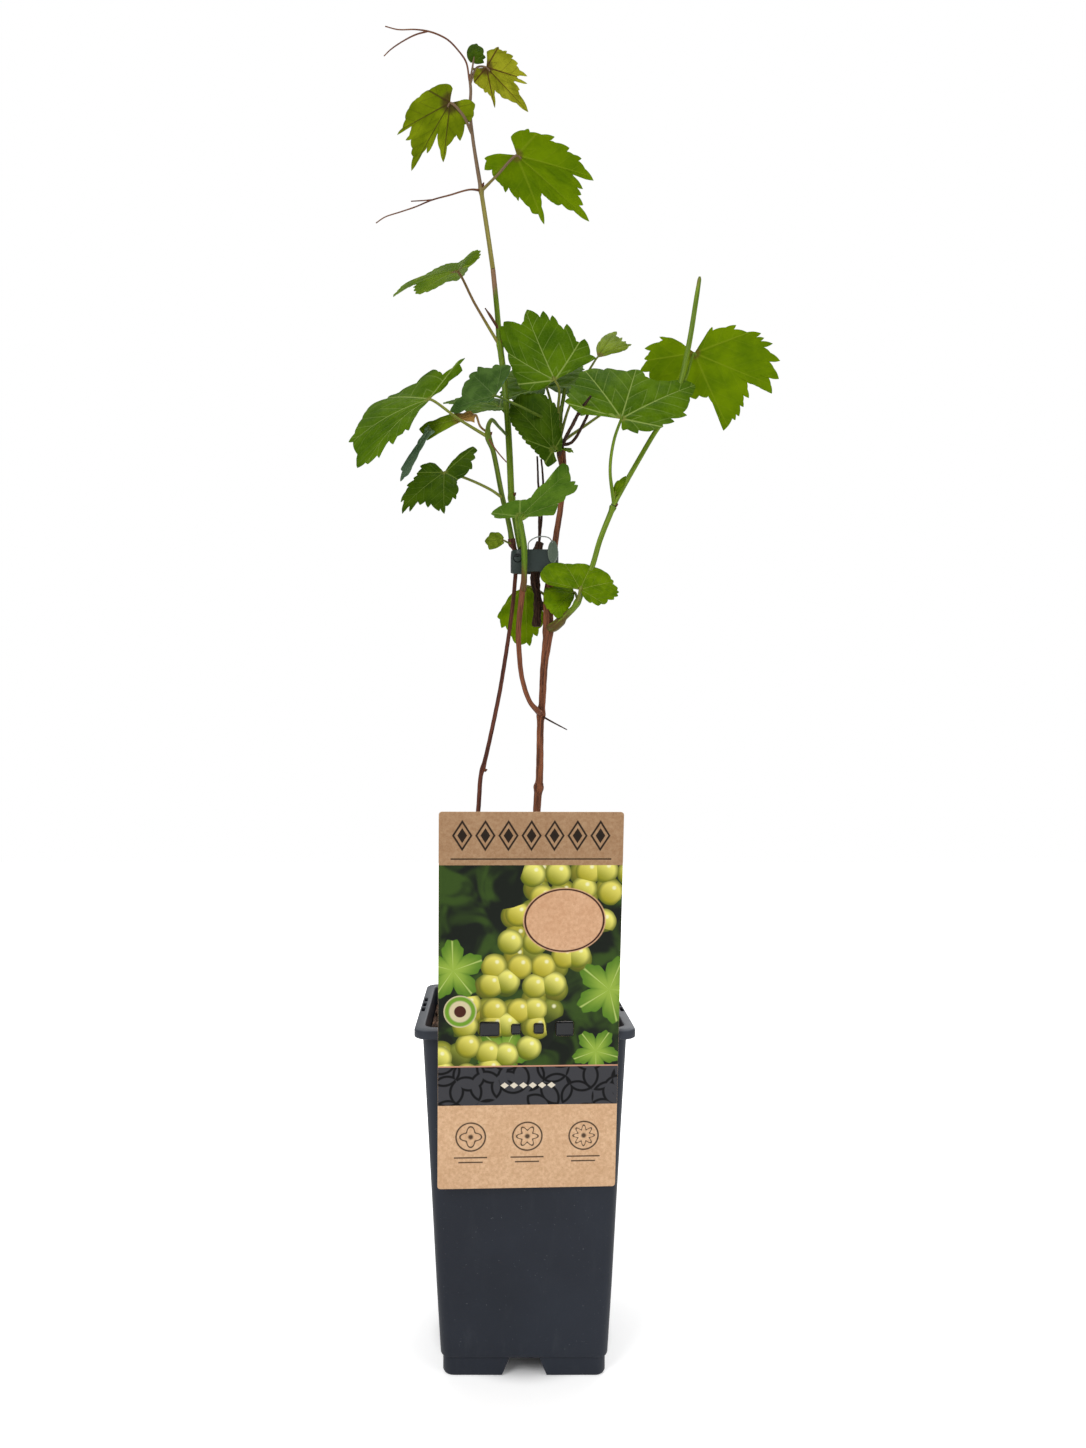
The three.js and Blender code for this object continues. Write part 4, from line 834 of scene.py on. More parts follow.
LEAVES = {
    "tipBud": dict(
        tone="shade", root=(-26.4, -1, 692.5), tip=(-24.5, 1.1, 703.7), face=(-0.15, -0.95, 0.2), cup=0.5,
        wave=0.3,
        outline=[(-150, 0.1), (-105, 0.29), (-88, 0.5), (-68, 0.44), (-57, 0.62), (-42, 0.59), (-28, 0.79),
                 (-19, 0.86), (-6, 0.88), (0, 1), (7, 0.94), (17, 0.94), (25, 0.88), (30, 0.81), (44, 0.55),
                 (62, 0.33), (79, 0.19), (130, 0.08)]),
    "tipLeaf": dict(
        tone="young", root=(-19.3, 0, 690), tip=(3.5, 10.1, 672.7), face=(0.1, 0.8, 0.6),
        veins=(-95, -27, 0, 35, 95),
        outline=[(-130, 0.23), (-104, 0.3), (-95, 0.37), (-90, 0.35), (-80, 0.38), (-74, 0.44), (-71, 0.41),
                 (-60, 0.51), (-57, 0.47), (-47, 0.57), (-44, 0.54), (-37, 0.6), (-31, 0.75), (-31, 0.63),
                 (-27, 0.56), (-24, 0.6), (-23, 0.78), (-21, 0.66), (-20, 0.55), (-17, 0.54), (-12, 0.69),
                 (-10, 0.67), (-7, 0.72), (0, 1.02), (3, 0.77), (10, 0.61), (17, 0.53), (17, 0.47),
                 (22, 0.42), (25, 0.37), (30, 0.43), (35, 0.63), (36, 0.52), (39, 0.44), (47, 0.37),
                 (54, 0.38), (59, 0.33), (84, 0.31), (95, 0.32), (110, 0.27), (121, 0.23), (138, 0.25)]),
    "secondLeaf": dict(
        tone="bronze", root=(-38.9, -6, 666.6), tip=(-60.7, 7.8, 638.6), face=(-0.2, 0.8, 0.55),
        veins=(-85, -27, 0, 30, 80),
        outline=[(-136, 0.2), (-134, 0.27), (-123, 0.36), (-110, 0.35), (-101, 0.37), (-79, 0.34),
                 (-74, 0.33), (-53, 0.48), (-49, 0.4), (-44, 0.42), (-30, 0.53), (-27, 0.73), (-21, 0.59),
                 (-13, 0.48), (-10, 0.42), (-6, 0.39), (-8, 0.54), (-8, 0.64), (-6, 0.7), (-3, 0.62),
                 (-2, 0.7), (0, 0.76), (0, 1.01), (5, 0.85), (8, 0.84), (10, 0.78), (13, 0.77), (17, 0.72),
                 (20, 0.79), (21, 0.71), (25, 0.65), (29, 0.6), (31, 0.54), (34, 0.56), (31, 0.67),
                 (28, 0.86), (31, 0.75), (37, 0.67), (41, 0.66), (48, 0.59), (51, 0.57), (58, 0.5),
                 (63, 0.44), (72, 0.39), (81, 0.33), (94, 0.29), (121, 0.24), (147, 0.21), (159, 0.17)]),
    "thirdLeaf": dict(
        tone="light", root=(-2.8, -8, 637), tip=(36.9, 3.8, 608.3), face=(0.2, 0.78, 0.6),
        veins=(-80, -24, 0, 28, 110),
        outline=[(-144, 0.11), (-149, 0.18), (-130, 0.21), (-108, 0.24), (-100, 0.27), (-94, 0.25),
                 (-73, 0.32), (-60, 0.43), (-58, 0.37), (-53, 0.42), (-44, 0.56), (-41, 0.53), (-38, 0.6),
                 (-35, 0.69), (-33, 0.66), (-28, 0.74), (-22, 0.86), (-22, 0.7), (-22, 0.6), (-20, 0.64),
                 (-14, 0.78), (-13, 0.7), (-10, 0.79), (-8, 0.76), (-5, 0.86), (-3, 0.82), (0, 1.01),
                 (2, 0.81), (5, 0.75), (5, 0.67), (9, 0.65), (11, 0.6), (13, 0.55), (14, 0.51), (16, 0.44),
                 (20, 0.47), (24, 0.55), (28, 0.72), (30, 0.6), (36, 0.57), (37, 0.51), (45, 0.43),
                 (50, 0.38), (51, 0.43), (54, 0.4), (62, 0.36), (70, 0.31), (73, 0.37), (80, 0.33),
                 (89, 0.32), (109, 0.32), (117, 0.3), (122, 0.38), (134, 0.34), (138, 0.36), (142, 0.3),
                 (144, 0.13)]),
    "fourthLeaf": dict(
        tone="pale", root=(-35.2, -4, 576.8), tip=(-69.3, -1.4, 564.5), face=(-0.32, -0.3, 0.9), arch=0.07,
        cup=0.06, heel=0.25, depth=1.6, wave=1.3, outline=BROAD),
    "crownLeaf": dict(
        tone="full", root=(17.3, -10, 515.4), tip=(2, 6, 561), face=(-0.1, -0.95, 0.3), arch=-0.04,
        cup=-0.1, veins=(-100, -48, 0, 33, 75),
        outline=[(-74, 0.17), (-80, 0.27), (-77, 0.34), (-80, 0.5), (-70, 0.48), (-62, 0.54), (-51, 0.6),
                 (-48, 0.54), (-44, 0.54), (-39, 0.6), (-29, 0.74), (-27, 0.67), (-22, 0.74), (-17, 0.86),
                 (-15, 0.8), (-11, 0.93), (-8, 0.86), (-6, 0.92), (-1, 0.99), (4, 0.87), (7, 0.84),
                 (9, 0.88), (12, 0.93), (16, 0.97), (18, 0.93), (20, 0.95), (23, 0.88), (33, 0.64),
                 (48, 0.5), (64, 0.41), (88, 0.36), (104, 0.22), (108, 0.13)]),
    "crownBud": dict(
        tone="pale", root=(41.1, -5, 529.9), tip=(59.9, 7.6, 541.4), face=(0.2, -0.8, 0.55), wave=0.3,
        veins=(-60, -20, 0, 25, 45),
        outline=[(-22, 0.1), (-12, 0.36), (-9, 0.67), (-7, 0.79), (-1, 0.95), (1, 1.09), (2, 0.97),
                 (5, 0.94), (8, 1.04), (9, 0.95), (12, 0.93), (16, 1.13), (16, 1.02), (23, 1.02),
                 (26, 1.35), (29, 1.15), (33, 0.98), (37, 0.8), (41, 0.58), (49, 0.41), (56, 0.12)]),
    "greyLeaf": dict(
        tone="cool", root=(-14.7, -23.4, 501.7), tip=(-38.2, -18.3, 495.3), face=(-0.3, -0.85, 0.42),
        cup=-0.06, veins=(-110, -64, 0, 30, 80),
        outline=[(-134, 0.22), (-128, 0.35), (-129, 0.65), (-126, 0.78), (-120, 0.8), (-108, 0.8),
                 (-100, 0.88), (-96, 0.86), (-94, 0.81), (-83, 0.87), (-76, 0.96), (-74, 0.91), (-72, 0.85),
                 (-64, 0.91), (-59, 0.89), (-56, 0.81), (-48, 0.85), (-42, 0.82), (-27, 0.76), (-19, 0.72),
                 (-5, 0.94), (0, 1), (9, 0.87), (11, 0.71), (7, 0.55), (10, 0.34), (60, 0.13)]),
    "heartLeaf": dict(
        tone="shade", root=(16.5, -14, 476.7), tip=(-5.8, -5, 504.9), face=(-0.2, -0.95, 0.2), cup=-0.3,
        depth=0.8, veins=(-70, -35, 0, 30, 110),
        outline=[(-150, 0.12), (-53, 0.34), (-43, 0.6), (-29, 0.82), (-18, 0.92), (-9, 1.02), (0, 1),
                 (7, 0.9), (16, 0.74), (32, 0.42), (100, 0.21), (125, 0.27), (157, 0.18)]),
    "hubLeaf": dict(
        tone="lit", root=(21.5, -1, 481.6), tip=(17.5, -9.4, 477), face=(0.05, -0.6, 0.8), arch=0.1,
        depth=0.5, wave=0.3, outline=BROAD),
    "leftLeaf": dict(
        tone="full", root=(-49, -24, 499.7), tip=(-85.7, -34.8, 461.5), face=(-0.35, -0.75, 0.55),
        arch=0.08, cup=0.2, veins=(-166, -78, -18, 6, 40), wave=0.8,
        outline=[(-177, 0.13), (-174, 0.33), (-178, 0.47), (-170, 0.51), (-170, 0.61), (-165, 0.56),
                 (-165, 0.46), (-155, 0.35), (-149, 0.41), (-143, 0.45), (-133, 0.57), (-120, 0.57),
                 (-112, 0.51), (-99, 0.6), (-93, 0.59), (-86, 0.65), (-76, 0.57), (-68, 0.68), (-55, 0.69),
                 (-43, 0.7), (-34, 0.75), (-26, 0.79), (-22, 0.88), (-18, 0.84), (-6, 0.9), (-3, 0.96),
                 (0, 1), (4, 0.93), (7, 0.94), (11, 0.84), (14, 0.87), (11, 0.78), (14, 0.67), (20, 0.71),
                 (18, 0.62), (24, 0.57), (23, 0.51), (29, 0.53), (26, 0.45), (16, 0.36), (18, 0.28),
                 (36, 0.1)]),
    "hangingLeaf": dict(
        tone="browned", root=(-24.9, -19, 493.4), tip=(-55, -15.5, 487.1), face=(-0.3, -0.85, 0.45),
        arch=0.01,
        outline=[(-58, 0.12), (-24, 0.25), (-26, 0.33), (-16, 0.56), (-10, 0.69), (-8, 0.75), (-8, 0.84),
                 (-3, 0.94), (0, 1), (12, 0.91), (18, 0.94), (13, 0.71), (6, 0.49), (-1, 0.38), (2, 0.28),
                 (15, 0.21), (78, 0.18)]),
    "hangingTip": dict(
        tone="painted_sheen", root=(-48.5, -19, 486.5), tip=(-63.8, -21, 457.9), face=(-0.5, -0.8, 0.3),
        outline=[(-120, 0.1), (-17, 0.22), (-14, 0.29), (-5, 0.36), (-2, 0.44), (-4, 0.55), (-6, 0.67),
                 (-8, 0.83), (-4, 0.85), (-3, 0.93), (-1, 1.01), (2, 0.93), (6, 0.88), (8, 0.72), (9, 0.67),
                 (11, 0.48), (19, 0.27), (70, 0.12)]),
    "lowLeftLeaf": dict(
        tone="shade", root=(-41, -30, 459.7), tip=(-40.1, -47, 433.8), face=(-0.1, -0.8, 0.6), cup=0.05,
        veins=(-100, -42, 0, 45, 138),
        outline=[(-147, 0.23), (-149, 0.3), (-139, 0.37), (-130, 0.38), (-116, 0.45), (-111, 0.4),
                 (-97, 0.47), (-91, 0.45), (-83, 0.52), (-76, 0.51), (-68, 0.67), (-64, 0.65), (-58, 0.75),
                 (-49, 0.95), (-49, 0.86), (-45, 0.95), (-38, 1.12), (-39, 0.98), (-37, 0.93), (-33, 1.04),
                 (-33, 0.88), (-32, 0.8), (-27, 0.87), (-23, 0.78), (-17, 0.9), (-15, 0.82), (-5, 0.95),
                 (-4, 0.9), (0, 1), (1, 0.84), (4, 0.85), (10, 0.74), (12, 0.69), (15, 0.75), (18, 0.66),
                 (25, 0.58), (29, 0.44), (39, 0.33), (49, 0.31), (74, 0.38), (96, 0.43), (92, 0.47),
                 (115, 0.5), (118, 0.6), (128, 0.63), (130, 0.74), (140, 0.77), (144, 0.63), (148, 0.39),
                 (147, 0.18)]),
    "clipBud": dict(
        tone="pale", root=(-10.4, -12, 429), tip=(-19.8, -12.5, 428.6), face=(0, -0.9, 0.4), wave=0.2,
        outline=[(-110, 0.2), (-69, 0.58), (-52, 0.66), (-38, 0.86), (-20, 0.84), (-4, 1), (0, 1.04),
                 (20, 0.94), (36, 1.02), (48, 0.76), (60, 0.55), (120, 0.15)]),
    "frontLeaf": dict(
        tone="front", root=(-1.7, -26, 437.8), tip=(25.3, -12.5, 465.6), face=(0.1, -0.92, 0.35), arch=0.03,
        cup=0.1, veins=(-60, -24, 0, 40, 126),
        outline=[(-120, 0.05), (-45, 0.12), (-42, 0.32), (-43, 0.43), (-34, 0.48), (-23, 0.54), (-23, 0.63),
                 (-20, 0.67), (-17, 0.7), (-18, 0.82), (-13, 0.94), (-11, 0.9), (-9, 0.95), (-7, 0.89),
                 (0, 0.98), (4, 1.05), (8, 1.03), (9, 0.9), (8, 0.78), (6, 0.7), (9, 0.6), (12, 0.51),
                 (14, 0.41), (13, 0.32), (22, 0.26), (39, 0.24), (60, 0.24), (76, 0.26), (91, 0.28),
                 (109, 0.32), (127, 0.37), (133, 0.33), (138, 0.33), (142, 0.2)]),
    "rightLeaf": dict(
        tone="full", root=(49.4, -38, 484.7), tip=(59.5, -18.1, 516.5), face=(0.1, -0.85, 0.5), arch=0.02,
        cup=0.08, veins=(-85, -36, 0, 40, 88), wave=0.8,
        outline=[(-164, 0.12), (-163, 0.21), (-148, 0.21), (-127, 0.33), (-118, 0.29), (-105, 0.42),
                 (-94, 0.47), (-83, 0.56), (-78, 0.53), (-69, 0.73), (-64, 0.69), (-60, 0.95), (-57, 0.91),
                 (-49, 1.07), (-44, 1.15), (-40, 1.3), (-36, 1.41), (-32, 1.38), (-29, 1.29), (-25, 1.11),
                 (-19, 0.97), (-13, 0.93), (-9, 0.92), (-5, 1), (0, 1.01), (7, 0.94), (15, 0.98),
                 (22, 1.03), (25, 0.99), (32, 1.04), (37, 1.03), (46, 1.0), (49, 0.94), (58, 0.85),
                 (61, 0.9), (63, 0.84), (68, 0.84), (70, 0.78), (76, 0.81), (79, 0.74), (86, 0.78),
                 (89, 0.7), (98, 0.59), (102, 0.46), (97, 0.3), (79, 0.13)]),
    "farRightLeaf": dict(
        tone="light", root=(92.7, -8, 530.6), tip=(112.3, 1, 494.9), face=(0, 0.95, 0.25), arch=0.04,
        cup=-0.06, veins=(-82, -42, 0, 62, 110),
        outline=[(-110, 0.18), (-120, 0.3), (-118, 0.38), (-113, 0.35), (-101, 0.49), (-95, 0.62),
                 (-92, 0.57), (-83, 0.71), (-78, 0.89), (-76, 0.82), (-74, 0.92), (-72, 0.87), (-69, 1.03),
                 (-67, 0.91), (-63, 1), (-58, 1.14), (-57, 0.99), (-53, 1.07), (-47, 1.17), (-46, 1.03),
                 (-42, 1.09), (-37, 1.15), (-38, 1), (-37, 0.88), (-36, 0.79), (-31, 0.84), (-26, 0.92),
                 (-25, 0.84), (-21, 0.89), (-18, 0.94), (-17, 0.89), (-11, 0.99), (-10, 0.94), (-7, 1),
                 (-6, 0.96), (4, 1.04), (2, 0.9), (1, 0.74), (6, 0.56), (9, 0.57), (18, 0.52), (23, 0.56),
                 (37, 0.5), (58, 0.49), (79, 0.56), (89, 0.64), (97, 0.61), (101, 0.72), (106, 0.66),
                 (110, 0.61), (112, 0.65), (116, 0.6), (121, 0.57), (123, 0.65), (134, 0.48), (139, 0.44),
                 (141, 0.5), (145, 0.42), (152, 0.27), (150, 0.17)]),
    "shootBud": dict(
        tone="light", root=(48.6, -17, 452.4), tip=(54.8, -15.5, 462.3), face=(-0.3, -0.9, 0.3), wave=0.2,
        outline=[(-150, 0.1), (-35, 0.32), (-20, 0.48), (-14, 0.64), (0, 1), (12, 0.66), (20, 0.62),
                 (38, 0.3), (150, 0.1)]),
    "capLeaf": dict(
        tone="light", root=(30.2, -18.6, 401.5), tip=(36.4, -13.5, 414.6), face=(0.05, -0.94, 0.34),
        cup=0.06, veins=(-98, -50, 0, 50, 98),
        outline=[(-124, 0.18), (-136, 0.36), (-125, 0.62), (-117, 0.63), (-111, 0.86), (-102, 0.88),
                 (-98, 0.99), (-91, 1.03), (-86, 1.01), (-82, 1.21), (-77, 1.19), (-74, 1.33), (-70, 1.28),
                 (-67, 1.36), (-64, 1.29), (-60, 1.33), (-56, 1.25), (-53, 1.18), (-48, 1.24), (-44, 1.17),
                 (-38, 1.19), (-27, 1.13), (-7, 1.03), (3, 1), (20, 1.01), (36, 1.03), (50, 1.14),
                 (61, 1.31), (68, 1.42), (74, 1.47), (82, 1.49), (89, 1.49), (97, 1.37), (103, 1.16),
                 (106, 0.93), (106, 0.73), (106, 0.45)]),
    "nodeLeaf": dict(
        tone="lit", root=(28.6, -1, 403.2), tip=(17.2, -8, 391.4), face=(0, -0.85, 0.5), depth=0.6,
        arch=0.08,
        outline=[(-130, 0.2), (-110, 0.5), (-86, 0.75), (-62, 0.86), (-42, 0.95), (-22, 1.02), (0, 1.06),
                 (12, 1.1), (19, 0.84), (25, 0.5), (34, 0.2)]),
    "backLeaf": dict(
        tone="lit", root=(2.7, 14.5, 409.5), tip=(3.2, 12, 373.5), face=(0, 1, 0.12),
        outline=[(-86, 0.09), (-57, 0.17), (-41, 0.29), (-35, 0.42), (-30, 0.53), (-24, 0.63), (-21, 0.67),
                 (-16, 0.69), (-12, 0.8), (-8, 0.75), (-6, 0.81), (-3, 0.94), (0, 0.88), (6, 0.92),
                 (12, 0.9), (16, 0.82), (20, 0.78), (23, 0.74), (28, 0.69), (31, 0.75), (35, 0.7),
                 (39, 0.65), (44, 0.65), (47, 0.54), (51, 0.42), (65, 0.21)]),
    "rearCrownLeaf": dict(
        tone="full", root=(14.5, 20, 523.5), tip=(7, 47.5, 549), face=(-0.1, -0.55, 0.8), arch=0.08,
        depth=1.6, outline=BROAD),
    "rearRightLeaf": dict(
        tone="full", root=(51, 22, 511.5), tip=(79, 40, 519), face=(0.05, -0.25, 0.97), arch=0.1, depth=1.6,
        outline=BROAD),
    "rearLeftLeaf": dict(
        tone="full", root=(-12, 20, 512), tip=(-36, 42, 523), face=(-0.1, -0.3, 0.95), arch=0.1, depth=1.6,
        outline=BROAD),
}

# Canes, stems and stalks, as (x, y, z, radius) from the root up

SOIL_ENTRY = SOIL_HEIGHT - ROOTED

MAIN_CANE = [
    (6, 5, SOIL_ENTRY, 2.5), (6.4, 5, 210, 2.25), (8.4, 5, 281, 2.0), (9, 5, 293, 2.1), (9.4, 5, 297, 2.8),
    (9.8, 5, 300.5, 2.0), (10.4, 4.2, 332, 1.95), (10.7, 4, 337, 2.6), (11.2, 3.8, 342, 1.9),
    (12.4, 3, 364, 2.1), (14, 2.2, 377, 2.6), (14.5, 2, 383, 3.2), (14.5, 2, 391, 2.8), (14.4, 2, 401, 2.6),
    (15.8, 2, 413, 2.1), (17.2, 2, 423, 1.8), (19, 3, 435.4, 1.6), (21.7, 4, 453, 1.5), (22.9, 5, 471, 1.8),
    (21.8, 6, 482, 2.4),
]
LEFT_CANE = [
    (-31, 4, SOIL_ENTRY, 1.3), (-30, 3.4, 220, 1.2), (-24, 2, 281.5, 1.2), (-22.4, 1.6, 303, 1.2),
    (-21.2, 1, 307.5, 1.5), (-20, 0.8, 312, 1.2), (-11.9, -1, 350, 1.15), (-4.7, -3, 398.7, 1.1),
    (-3.4, -4, 418, 1.1), (-4, -4.4, 425.5, 1.25), (-5.4, -5, 429, 2.1), (-5.7, -5.4, 431.4, 1.9),
]
SIDE_CANE = [
    (10.7, 4, 337, 1.6), (8.6, -2.4, 338.4, 1.5), (4.3, -6, 343, 1.25), (0.1, -9, 354.6, 1.25),
    (-1.8, -10, 370.5, 1.35), (-2.1, -9.6, 381, 1.45), (-0.2, -9, 400, 1.6), (0.9, -8.8, 411, 1.5),
    (-0.2, -8.4, 425, 1.3),
]
OLD_STUB = [
    (8.2, 5.6, 385.6, 2.2), (8.3, 5.6, 387.6, 2.5), (8.6, 6, 392, 2.1), (9, 6, 398, 2.4), (8.8, 6, 404, 1.9),
    (7.6, 6, 410, 2.5), (7.9, 6, 418, 2.3), (8.6, 6, 426, 2.5), (10.2, 6, 432, 2.1),
]
STUB_JOINT = [(14.6, 3, 396, 2), (12.4, 5.4, 396.5, 2.2), (9.2, 6, 399, 1.9)]
OLD_TWIGS = [
    [(10, 6, 428, 0.7), (9.8, 7.6, 443, 0.65), (9.8, 8.6, 456, 0.65), (8.8, 9, 480.5, 0.5)],
    [(9.4, 6, 428, 0.7), (11.4, 9.4, 448, 0.65), (12.3, 11.6, 466, 0.6), (11.2, 12.5, 480, 0.5)],
]
LEADER_STEM = [
    (-0.6, -8, 425.8, 1.9), (-1.6, -5.6, 431, 1.9), (-3.7, -2, 444, 1.9), (-5.2, -0.4, 452, 1.9),
    (-5.6, 0, 455, 2.2), (-5.8, 0.3, 458, 1.8), (-6.6, 2, 477.9, 1.8), (-8, 4, 502.8, 1.75),
    (-10.2, 6, 527.2, 1.7), (-11.5, 6, 537.5, 1.7), (-11.9, 6, 541, 2), (-12.3, 6, 545, 1.6),
    (-13.5, 6, 560.3, 1.45), (-15.7, 6, 582.4, 1.35),
]
LEADER_BRACT = [(-12.4, 5.6, 549, 0.7), (-16.8, 2, 554.6, 0.8), (-20.1, 0, 558.6, 0.35)]
LEADER_TOP = [
    (-15.75, 6, 582.9, 1.3), (-18.5, 5, 601.2, 1.25), (-21.8, 4, 622, 1.2), (-22.3, 4, 625.4, 1.6),
    (-22.9, 3.9, 629, 1.15), (-26.7, 2, 651.6, 0.95), (-28.3, 0, 666.7, 0.85), (-27.9, 0, 677.6, 0.8),
    (-28.8, 0, 686, 0.7),
]
LEFT_SHOOT = [
    (-5.7, -5.8, 431.2, 1.6), (-6.4, -6.4, 435.5, 1.4), (-8.2, -8, 443.5, 1.35), (-10.6, -10, 452.1, 1.35),
    (-15.7, -16, 475.3, 1.3), (-18.2, -18, 482, 1.8), (-18.3, -19.6, 487, 1.2), (-16.6, -18, 491, 1.05),
    (-12.6, -9, 490.6, 0.8), (-7.6, 3, 489.6, 0.75),
]
RIGHT_SHOOT = [
    (14.8, 2, 384, 2.4), (17.4, -3, 384.2, 2.8), (20.6, -6, 386.6, 2.7), (22.6, -7.4, 388.8, 1.9),
    (27.4, -10.8, 393, 1.6), (29.1, -12, 395.6, 2), (30.8, -12.6, 399, 1.5), (36.9, -14, 414.3, 1.45),
    (41.1, -14.5, 428.5, 1.45), (46.8, -15, 443, 1.5), (48, -15, 446, 2),
]
RIGHT_SHOOT_TOP = [
    (48.2, -15.1, 446.6, 1.6), (49.8, -15.2, 450, 1.4), (67.5, -16, 481.1, 1.3), (80.4, -16, 502.3, 1.3),
    (87.4, -16, 528.8, 1.4), (92.1, -15, 555.8, 1.3), (94, -14, 567, 1.05), (94.2, -14, 568.6, 0.6),
]
CROWN_HUB = [(21.7, 6, 482.4, 2.2), (20.8, 4, 486, 2.2), (20.2, 1.5, 489.6, 1.9)]
STALKS = {
    "tipBud": [(-28.5, 0, 682, 0.6), (-27.2, -0.6, 688, 0.55), (-26.4, -1, 692.5, 0.5),
               (-26, -0.8, 695, 0.4)],
    "tipLeaf": [(-28.1, 0, 681, 0.6), (-24.5, 0.6, 690.4, 0.5), (-19.3, 0, 690, 0.5),
                (-17.4, 0.8, 688.6, 0.4)],
    "secondLeaf": [(-27.4, 1.4, 655, 0.85), (-31.9, -5, 660.5, 0.75), (-38.9, -6, 666.6, 0.6),
                   (-40.4, -5.2, 664.8, 0.5)],
    "thirdLeaf": [(-22.3, 4, 624.6, 0.9), (-13.6, -4, 628.6, 0.7), (-2.8, -8, 637, 0.65),
                  (-0.6, -7.4, 635.5, 0.5)],
    "fourthLeaf": [(-11.9, 6, 540.5, 0.9), (-25.6, 1, 561.4, 0.7), (-35.2, -4, 576.8, 0.65),
                   (-37.4, -4.8, 576, 0.5)],
    "crownLeaf": [(20.4, 2, 488, 0.9), (19.6, -4, 502, 0.8), (19.8, -8.4, 511.3, 0.75),
                  (17.3, -10, 515.4, 0.65),
                  (16.6, -9.2, 517.6, 0.5)],
    "crownBud": [(20.6, 3, 487, 0.9), (26.5, 2, 506.4, 0.7), (37.6, -2, 525.6, 0.6), (41.1, -5, 529.9, 0.5),
                 (43.4, -3.6, 531.4, 0.4)],
    "greyLeaf": [(20.2, 2, 488.6, 0.9), (16.6, -8, 492.5, 0.8), (3.9, -15, 496.7, 0.7),
                 (-8.4, -21, 500.2, 0.65),
                 (-14.7, -23.4, 501.7, 0.6), (-16.6, -23, 501.2, 0.5)],
    "heartLeaf": [(20.3, 3, 487, 1), (18.6, -6, 481, 0.9), (16.5, -14, 476.7, 0.75),
                  (15.2, -13.6, 478.3, 0.6)],
    "hubLeaf": [(21.4, 5, 483, 0.8), (21.8, 1.4, 482.4, 0.6), (21.5, -1, 481.6, 0.5), (21, -2, 481.4, 0.4)],
    "leftLeaf": [(-18.2, -18, 482, 0.9), (-33.1, -21.4, 489.9, 0.75), (-49, -24, 499.7, 0.7),
                 (-50.8, -24.4, 498, 0.5)],
    "hangingLeaf": [(-18.2, -16.8, 484.6, 0.6), (-22.4, -16.8, 488, 0.6), (-24.9, -19, 493.4, 0.6),
                    (-26.6, -18.8, 493, 0.5)],
    "lowLeftLeaf": [(-10.6, -10, 452.1, 0.8), (-17.3, -17, 454.7, 0.75), (-31.9, -26, 458.6, 0.7),
                    (-41, -30, 459.7, 0.6), (-41, -31.2, 457.8, 0.5)],
    "clipBud": [(-5.3, -5, 428.8, 0.6), (-7.7, -9, 428.4, 0.5), (-10.4, -12, 429, 0.5),
                (-12, -12.1, 429, 0.4)],
    "frontLeaf": [(0.6, -9, 402.5, 1.4), (0.8, -14.6, 406.5, 1.5), (0.8, -16, 412.5, 1.5),
                  (0.7, -16.6, 424, 1.6),
                  (-1, -21.6, 433.5, 1.5), (-1.7, -26, 437.8, 1.1), (0.2, -25, 439.8, 0.8)],
    "rightLeaf": [(48.4, -15.4, 447.8, 1.1), (45.6, -22, 463.4, 0.85), (46.4, -32, 475.7, 0.8),
                  (49.4, -38, 484.7, 0.7), (50, -36.8, 486.7, 0.5)],
    "farRightLeaf": [(80.9, -16, 502.8, 0.9), (87, -12, 514.9, 0.8), (92.7, -8, 530.6, 0.7),
                     (93.6, -7.6, 529, 0.5)],
    "shootBud": [(48.4, -15.4, 447.6, 0.8), (48.5, -16.6, 451, 0.6), (49.2, -16.8, 453.6, 0.5)],
    "capLeaf": [(29.1, -12, 395.6, 1.1), (30, -16, 398.4, 1), (30.2, -18.6, 401.5, 0.8),
                (31, -18, 403.3, 0.6)],
    "nodeLeaf": [(29.1, -12, 395.6, 1), (29.8, -6, 399, 0.8), (28.6, -1, 403.2, 0.7),
                 (27.4, -1.8, 402.2, 0.6)],
    "backLeaf": [(17, 2, 397, 0.9), (14.5, 9.6, 402.4, 0.75), (8, 13.6, 408, 0.65), (2.7, 14.5, 409.5, 0.6),
                 (2.7, 14.4, 407.6, 0.5)],
    "rearCrownLeaf": [(20.6, 4, 487, 1), (19, 13, 503, 0.8), (14.5, 20, 523.5, 0.7), (14, 21.7, 525.1, 0.5)],
    "rearRightLeaf": [(20.8, 4, 486, 1), (34, 14, 498, 0.8), (51, 22, 511.5, 0.7), (53, 23.3, 512.1, 0.5)],
    "rearLeftLeaf": [(-7.9, 3.8, 501, 0.9), (-9, 12, 506, 0.8), (-12, 20, 512, 0.7),
                     (-13.6, 21.5, 512.8, 0.5)],
}
TIP_TENDRIL = [
    [(-28.6, -0.4, 682.5, 0.55), (-30.4, -1, 692.2, 0.5), (-34.8, -2, 698, 0.45), (-40.1, -3, 702.7, 0.45),
     (-46.1, -4, 705.2, 0.45), (-51.4, -5, 706.1, 0.45), (-57.8, -6, 706.2, 0.35), (-66.9, -7, 705.4, 0.32),
     (-73.8, -8, 706.4, 0.3)],
    [(-50.8, -5, 706, 0.42), (-57.8, -7, 702.5, 0.4), (-65.7, -9, 696.7, 0.36), (-70.9, -10, 692.2, 0.33),
     (-74, -11, 688.3, 0.3)],
]
